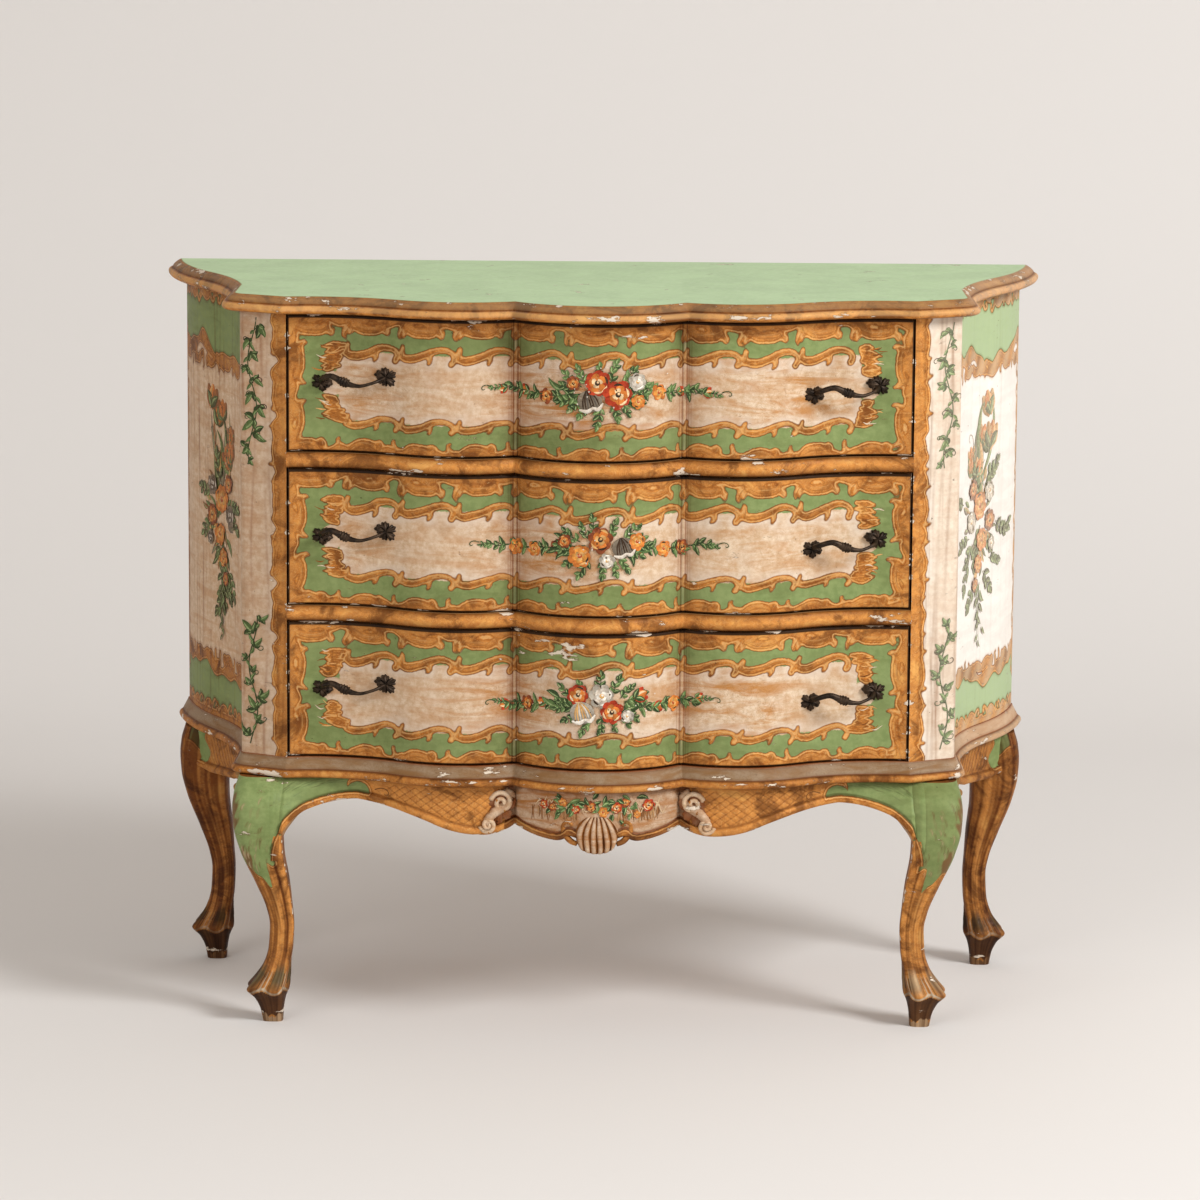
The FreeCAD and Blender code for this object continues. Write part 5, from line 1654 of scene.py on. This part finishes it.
def front_apron():
    line = edge_line(APRON_SHARES, APRON_RUN, APRON_DROP)
    grows = (-APRON_INSET, 1 - APRON_INSET, -APRON_BACK)
    base, ahead, behind = (widened(front_path(g, APRON_HALF, APRON_STEP, 4)) for g in grows)
    lift = ahead - base
    low, D = hanging_rows(line, np.abs(base[:, 0]), APRON_ROWS)
    A = np.abs(np.broadcast_to(base[:, 0], D.shape))
    near = distance_to(line, A, D)
    wing = np.maximum(A - 303 + 3 * np.sin(D / 5.0), 14 - np.hypot(A - 293, (D + 17) * 1.1))
    cart = np.hypot(np.maximum(A - 62, 0), (D + 22) * 1.15) - 36
    c = Canvas(base[:, 0], np.linspace(-APRON_DROP, 0, APRON_ROWS), 8.0, 12.0)
    paint_apron(c, A, D, near, wing, cart)
    carve_apron(c, A, D, near, cart, base, lift)
    cut_lattice(c, A, D, (A > 128) & (A < 258) & (near > 11) & (D < -5) & (wing < -6))
    rng = np.random.default_rng(55)
    for k in range(26):
        x, y = rng.uniform(290, 384), rng.uniform(-24, -4)
        for sign in (-1, 1):
            p = [(sign * x, y), (sign * (x + 5), y - 1.5), (sign * (x + rng.uniform(8, 14)), y - 3)]
            c.brush(p, [0.15, 0.6, 0.15], GREEN_STROKES[k % 3], 0.7)
    grid = face_grid(base, lift, c.relief, LEG_TOP + D)
    inner = [level_path(behind, LEG_TOP + low), level_path(behind, LEG_TOP)]
    painted_piece("front_apron_painted", "case", ["front_apron"], grid, c, inner)
    apron_flowers(base, lift, rng)


def side_apron(side):
    start, end = SIDE_APRON_SPAN
    line = edge_line(SIDE_APRON_SHARES, 1.0, SIDE_APRON_DROP)
    outer, ahead = (right_path(g, 0, 5, POST_STEP) for g in (-APRON_INSET, 1 - APRON_INSET))
    keep = (outer[:, 1] > start) & (outer[:, 1] < end)
    outer, lift = outer[keep], (ahead - outer)[keep]
    low, D = hanging_rows(line, share_of(outer[:, 1], start, end), SIDE_APRON_ROWS)
    u = run_length(outer)
    c = Canvas(u, np.linspace(-SIDE_APRON_DROP, 0, SIDE_APRON_ROWS), 8.0, 12.0)
    edge = distance_to(np.column_stack([u, low]), c.U, D)
    c.gold = np.minimum(-np.clip(c.U - 34 - 8 * np.sin(D / 6.0), -9, 9), edge - 9.0)
    hatch = bell(np.mod(c.U + 0.5 * D, 9.0) - 4.5, 1.0) * (edge > 12) * (D < -5) * (c.U > 45)
    # Painted shade in the groove beside the bead
    c.tone = np.where(c.gold > 0, 0.12, 0.46 + 0.5 * bell(edge - 10.0, 1.3) + 0.4 * hatch)
    c.wear = 0.16 + 0.4 * bell(edge, 2.5)
    c.glaze[:] = 0.6
    swell = np.clip(np.maximum((c.U - u[-1] + 40) / 40, (45 - c.U) / 45), 0, 1)
    c.relief = bead(edge, 4.6, 5.0, 3.6) - 0.5 * hatch - 1.5 * bell(edge - 12, 4) + 10 * swell ** 2
    flip = (side, 1.0)
    deep = (outer - lift * SIDE_APRON_THICK) * flip
    inner = [level_path(deep, LEG_TOP + low), level_path(deep, LEG_TOP)]
    grid = face_grid(outer, lift, c.relief, LEG_TOP + D, flip)
    side_piece(side, "side_apron", grid, c, inner)


front_apron()
side_apron(-1)
side_apron(1)


# Carved and cast forms
def tube(points, radii, sides=14):
    points, radii = np.asarray(points, float), np.asarray(radii, float)
    along = np.gradient(points, axis=0)
    along /= np.linalg.norm(along, axis=1)[:, None]
    ang = np.linspace(0, 2 * math.pi, sides, endpoint=False)
    rings = []
    for p, a, r in zip(points, along, radii):
        across = np.cross(a, [0.0, 1.0, 0.0])
        if np.linalg.norm(across) < 1e-3:
            across = np.cross(a, [1.0, 0.0, 0.0])
        across /= np.linalg.norm(across)
        over = np.cross(across, a)
        rings.append(p + r * (np.cos(ang)[:, None] * across + np.sin(ang)[:, None] * over))
    last = (len(rings) - 1) * sides
    return np.vstack(rings), tube_faces(len(rings), sides) + [[last + s for s in range(sides)]]


def rosette(x, radius, lobes, turn, jag):
    """A domed leafy boss that faces -y, about the point x of the x axis."""
    rings, spokes = 15, 96
    ang = np.linspace(0, 2 * math.pi, spokes, endpoint=False)
    leafy = np.abs(np.cos(lobes * (ang + turn) / 2)) ** 0.6
    size = 1 + 0.14 * np.cos(2 * ang + turn) + 0.07 * np.sin(3 * ang)
    teeth = np.cos(3 * lobes * (ang + turn))
    rim = radius * size * (0.62 + 0.42 * leafy + jag * teeth)

    def ring(reach, y):
        out = rim * reach
        return np.column_stack([x + out * np.cos(ang), np.broadcast_to(y, spokes), out * np.sin(ang)])

    verts = [ring(1.0, 2.5), ring(1.0, -0.2)]
    for f in 1 - np.arange(1, rings) / (rings - 1):
        height = 3.4 * (1 - f ** 2.2) + 12.0 * f * (1 - f) * (leafy - 0.30) + 1.2 + 0.5 * teeth * f
        verts.append(ring(f, -height))
    return np.vstack(verts), tube_faces(rings + 1, spokes)


def joined(parts):
    verts, faces, count = [], [], 0
    for v, f in parts:
        verts.append(v)
        faces += [tuple(i + count for i in face) for face in f]
        count += len(v)
    return np.vstack(verts), faces


def carved_piece(name, parts, gold, panel, tone, wear, glaze):
    """A carving of the apron in the paint of the case; gold and tone are given for each point."""
    verts, faces = joined(parts)
    n = len(verts)
    trim = [np.broadcast_to(v, n) for v in (tone, wear, glaze, 0.0)]
    fields = {"gold": gold, "panel": np.full(n, panel), "paint": np.zeros((n, 4)),
              "trim": np.column_stack(trim)}
    dress(new_object(name + "_painted", verts, faces, PAINTED), fields, [name], "case")


def mottle(verts, across, up, start=0.0):
    """A soft pattern of 0 to 1 over the front of a carving."""
    return 0.5 + 0.5 * np.sin(verts[:, 0] / across + start) * np.sin(verts[:, 2] / up)


# Shell of the apron, and the curls beside it as x, y, depth below the leg top and radius
SHELL_RIBS = 6
SHELL_FACE = -227.0
SHELL_BACK = -212.0
SHELL_TOP = LEG_TOP - 30
SHELL_LENGTH = 46
SHELL_CURL = ((24, -227, -64, 3.0), (33, -224, -60, 3.8), (40, -221, -50, 3.8), (40, -221, -41, 3.2),
              (34, -224, -37, 2.6), (30, -226, -42, 2.2))


def shell():
    across, down = 141, 44
    S, T = np.meshgrid(np.linspace(-1, 1, across), np.linspace(0, 1, down))
    arch = np.sqrt(np.clip(1 - S ** 2, 0, 1))
    dome = np.sqrt(np.clip(1 - (S * 0.96) ** 2, 0, 1)) * np.sqrt(np.clip(1 - (2 * T - 1) ** 4, 0, 1))
    fan = math.pi * SHELL_RIBS * (S + 1) / 2 + 0.7 * (1 - T) * np.sign(S) * np.abs(S) ** 0.5
    groove = np.abs(np.sin(fan + 0.25 * np.sin(5 * T)))
    X = S * (11 + 15 * np.sin(math.pi * T ** 0.8 * 0.72))
    Y = SHELL_FACE - (1.6 + 2.8 * T) * np.sqrt(groove) - 6.0 * dome
    Z = SHELL_TOP - SHELL_LENGTH * T * (0.72 + 0.28 * arch)
    grid = np.stack([X, Y, Z], -1)[::-1]
    back = grid.copy()
    back[..., 1] = SHELL_BACK
    n = across * down
    verts = np.vstack([grid.reshape(-1, 3), back.reshape(-1, 3)])
    faces = quads(down, across) + quads(down, across, n, True)
    ids = np.arange(n).reshape(down, across)
    rim = np.concatenate([ids[0], ids[1:, -1], ids[-1, -2::-1], ids[-2:0:-1, 0]]).tolist()
    faces += [(b, a, a + n, b + n) for a, b in zip(rim, rim[1:] + rim[:1])]
    ridge, cloud = np.concatenate([groove[::-1].ravel(), np.zeros(n)]), mottle(verts, 4.1, 5.3, 1.0)
    # Painted shade: the tone is higher in the hollows between the ribs
    gold, tone = [np.where(ridge > 0.36 + 0.3 * cloud, 6.0, -6.0)], [0.85 - 0.62 * ridge + 0.2 * cloud]
    parts = [(verts, faces)]
    for sign in (-1, 1):
        p = curve_through([(sign * x, y, LEG_TOP + z, r) for x, y, z, r in SHELL_CURL], 30)
        parts.append(tube(p[:, :3], p[:, 3], 10))
        gold.append(np.full(len(parts[-1][0]), -6.0))
        tone.append(np.full(len(parts[-1][0]), 0.3))
    carved_piece("apron_shell", parts, np.concatenate(gold), -6.0, np.concatenate(tone), 0.25, 0.8)


# Volutes beside the cartouche: the stem as shares of its sway, fall and thickness, and its two spirals
VOLUTE_SHARES = [(-.20, .02, .60), (-.65, .20, 1.0), (-.15, .45, 1.05), (.75, .64, .95), (1.25, .88, .82),
                 (.80, 1.02, .60)]
VOLUTE_X = 115
VOLUTE_SWAY = 15
VOLUTE_FALL = 46
VOLUTE_THICK = 6.0
VOLUTE_BOSS = (119, -28)
VOLUTE_SPIRALS = ((116, -21, 1, 13.5, 3.3), (133, -48, -1, 9.5, 2.9))
CURVE_POINTS = 60


def volute(side):
    """The boss, stem and spirals of one volute, each with its tone: darkest on the boss behind, lightest on
    the spirals in front, as painted shade.
    """
    boss_x, boss_z = VOLUTE_BOSS
    body, skin = rosette(0.0, 17.0, 6, 0.4, 0.03)
    body = body * [side, 0.28, 1.25] + [side * boss_x, face_y(boss_x) - 0.5, LEG_TOP + boss_z]
    parts = [(body, skin if side > 0 else [f[::-1] for f in skin])]
    route = []
    for a, d, r in VOLUTE_SHARES:
        x = VOLUTE_X + VOLUTE_SWAY * a
        route.append((side * x, face_y(x) - 1, LEG_TOP - 5 - VOLUTE_FALL * d, VOLUTE_THICK * r))
    p = curve_through(route, CURVE_POINTS)
    parts.append(tube(p[:, :3], p[:, 3] + 0.3 * np.sin(np.arange(CURVE_POINTS) * 1.9)))
    for x, z, turn, size, thick in VOLUTE_SPIRALS:
        ang = np.linspace(0.2, 2 * math.pi * 1.6, CURVE_POINTS)
        rad = size * (1 - 0.86 * (ang - ang[0]) / (ang[-1] - ang[0]))
        rise = face_y(x) - 1.5 - np.linspace(0, 4.5, CURVE_POINTS)
        run = side * (x + rad * np.cos(ang))
        spiral = np.column_stack([run, rise, LEG_TOP + z + turn * rad * np.sin(ang)])
        parts.append(tube(spiral, np.linspace(thick, thick * 0.7, CURVE_POINTS), 10))
    return parts, [np.full(len(v), tone) for (v, _), tone in zip(parts, (0.85, 0.30, 0.02, 0.02))]


def volutes():
    (left, left_shade), (right, right_shade) = volute(-1), volute(1)
    parts = left + right
    cloud = mottle(np.vstack([v for v, _ in parts]), 3.1, 4.3)
    tone = np.concatenate(left_shade + right_shade) + 0.2 * cloud
    carved_piece("apron_scrolls", parts, np.where(cloud > 0.95, -5.0, 8.0), -8.0, tone, 0.35, 0.45)


shell()
volutes()

# Cast pulls: the arm as shares of its half span, reach, wave and radius
ARM_SHARES = [(-1, -.10, 0, .85), (-.86, .60, .50, .74), (-.52, .98, .80, .78), (-.26, 1.02, .30, .98),
              (-.20, 1.02, .16, 1.24), (-.05, 1.02, -.12, 1.24), (.01, 1.02, -.24, .88), (.16, 1, -.44, .64),
              (.40, .95, -.56, .47), (.78, .66, -.30, .46), (1, -.10, 0, .75)]
ARM_HALF = 41.5
ARM_REACH = 24.0
ARM_WAVE = 11.0
ARM_RADIUS = 4.4
GRIP = (-0.27, 0.04)
PULL_X = 297.0
PULL_SET = {-1: (5.5, -6.5), 1: (-2.5, -7.0)}


def pull_shape():
    """A turned grip on an S-shaped arm, with a leafy boss and two curls at each end."""
    scale = (ARM_HALF, -ARM_REACH, ARM_WAVE, ARM_RADIUS)
    p = curve_through(np.array(ARM_SHARES) * scale, 170)
    run = p[:, 0] / ARM_HALF
    ridge = np.where((run > GRIP[0]) & (run < GRIP[1]), 0.6 * np.sin((run - GRIP[0]) * 82), 0)
    parts = [tube(p[:, :3], p[:, 3] + ridge, 18), rosette(-ARM_HALF, 11.8, 5, 0.3, 0.05),
             rosette(ARM_HALF, 12.8, 5, 0.9, 0.07)]
    for sign in (-1, 1):
        for lean, size in ((0.5, 5.4), (-0.7, 4.4)):
            a = np.linspace(0, 5.6, 30)
            r = size - 0.13 * size * a
            across = sign * (ARM_HALF - 7 + r * np.cos(a))
            curl = np.column_stack([across, -3.4 - 0.3 * a, 6.0 * lean + r * np.sin(a)])
            parts.append(tube(curl, np.linspace(1.7, 1.1, 30), 8))
    return joined(parts)


def pull(side, name, floor):
    verts, faces = pull_shape()
    left, right = (np.array([x, face_y(x)]) for x in (side * PULL_X - ARM_HALF, side * PULL_X + ARM_HALF))
    along = right - left
    raised, tilt = PULL_SET[side]
    heading = Matrix.Rotation(math.atan2(along[1], along[0]), 3, "Z")
    turn = heading @ Matrix.Rotation(math.radians(tilt), 3, "Y")
    middle = np.array([*(left + right) / 2, floor + DRAWER_H / 2 + raised])
    node = SIDE_WORD[side] + name + "_pull"
    obj = new_object(node + "_cast", verts @ np.array(turn).T + middle, faces, BRONZE)
    dress(obj, {}, [node], name + "_drawer")


for name, floor in FLOORS.items():
    pull(-1, name, floor)
    pull(1, name, floor)


# Camera, light and ground, in metres
CAMERA_PLACE = (0.0431, -6.5809, 1.6574)
CAMERA_TURNS = (9.9359, -0.3717, 0.3973)
CAMERA_LENS = 161.04
PAPER_BEND = 1.4
PAPER_FRONT = 9.0
PAPER_REAR = 3.0
PAPER_SIDE = 9.3
REAR_HEIGHT = 7.0
SIDE_HEIGHT = 2.4
ROOM_COLOR = (1.0, 0.935, 0.86, 1.0)
ROOM_STRENGTH = 0.55


def stand(name, data, axes, place):
    """A new object with its x, y and z axes along the given directions."""
    obj = bpy.data.objects.new(name, data)
    bpy.context.scene.collection.objects.link(obj)
    obj.matrix_world = Matrix([(*row, spot) for row, spot in zip(zip(*axes), place)] + [(0, 0, 0, 1)])
    return obj


def camera():
    data = bpy.data.cameras.new("camera")
    data.sensor_width = 36.0
    data.lens = CAMERA_LENS
    data.clip_end = 100
    pitch, yaw, roll = (math.radians(v) for v in CAMERA_TURNS)
    ahead = np.array([math.sin(yaw) * math.cos(pitch), math.cos(yaw) * math.cos(pitch), -math.sin(pitch)])
    level = np.array([math.cos(yaw), -math.sin(yaw), 0.0])
    up = np.cross(level, ahead)
    right = math.cos(roll) * level + math.sin(roll) * up
    above = math.cos(roll) * up - math.sin(roll) * level
    bpy.context.scene.camera = stand("camera", data, (right, above, -ahead), CAMERA_PLACE)


def area_light(name, place, target, size, power, color):
    data = bpy.data.lights.new(name, "AREA")
    data.shape = "RECTANGLE"
    data.size = size
    data.size_y = size
    data.energy = power
    data.color = color
    back = np.array(place, float) - np.array(target, float)
    back /= np.linalg.norm(back)
    right = np.cross([0, 0, 1], back)
    right /= np.linalg.norm(right)
    stand(name, data, (right, np.cross(back, right), back), place)


def paper_material():
    """Pale paper that is clear from behind, so that no wall hides the chest from any side."""
    n = Nodes("paper")
    n.finish(lin(221, 218, 216), 0.9, 0.0, 0.1)
    one_sided = n.add("ShaderNodeMixShader")
    n.link(n.add("ShaderNodeNewGeometry").outputs["Backfacing"], one_sided.inputs[0])
    n.link(n.bsdf.outputs[0], one_sided.inputs[1])
    n.link(n.add("ShaderNodeBsdfTransparent").outputs[0], one_sided.inputs[2])
    n.link(one_sided.outputs[0], n.tree.nodes["Material Output"].inputs["Surface"])
    return n.mat


def paper_sweep(name, turn, floor, wall, top, left, right, material):
    """A sheet that lies on the floor, bends up and ends as a wall. It faces -Y, turned about Z."""
    s = np.linspace(0, math.pi / 2, 24)
    out = np.concatenate([floor, wall - PAPER_BEND + PAPER_BEND * np.sin(s), [wall]])
    up = np.concatenate([np.zeros(len(floor)), PAPER_BEND - PAPER_BEND * np.cos(s), [top]])
    spin = Matrix.Rotation(turn, 4, "Z")
    verts = [spin @ Vector((x, y, z)) / METRE for y, z in zip(out, up) for x in (left, right)]
    new_object(name, verts, quads(len(out), 2), material)


def backdrop():
    paper = paper_material()
    turn = math.pi / 2
    paper_sweep("backdrop", 0.0, [-PAPER_FRONT], PAPER_REAR, REAR_HEIGHT, -PAPER_SIDE, PAPER_SIDE, paper)
    paper_sweep("right_backdrop", -turn, [], PAPER_SIDE, SIDE_HEIGHT, -PAPER_REAR, PAPER_FRONT, paper)
    paper_sweep("left_backdrop", turn, [], PAPER_SIDE, SIDE_HEIGHT, -PAPER_FRONT, PAPER_REAR, paper)


def room():
    """Warm light from all round."""
    world = bpy.data.worlds.new("room")
    bpy.context.scene.world = world
    world.use_nodes = True
    background = world.node_tree.nodes["Background"]
    background.inputs[0].default_value = ROOM_COLOR
    background.inputs[1].default_value = ROOM_STRENGTH


camera()
backdrop()
area_light("key", (4.1, -3.1, 3.86), (0.1, 0.0, 0.5), 1.9, 306, (0.99, 1.0, 1.0))
area_light("fill", (-3.0, -4.5, 2.6), (0.0, 0.0, 0.4), 3.0, 70, (1.0, 0.985, 0.965))
room()
bpy.context.scene.view_settings.view_transform = "Standard"

# The nodes that no piece stands in for are bare pine, with the grain along their longest side
for name, node in cad.items():
    if not node.hide_render:
        lo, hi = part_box(name)
        size = hi - lo
        longest = max(range(3), key=lambda k: size[k])
        node.data.materials.clear()
        node.data.materials.append(PINES[longest])
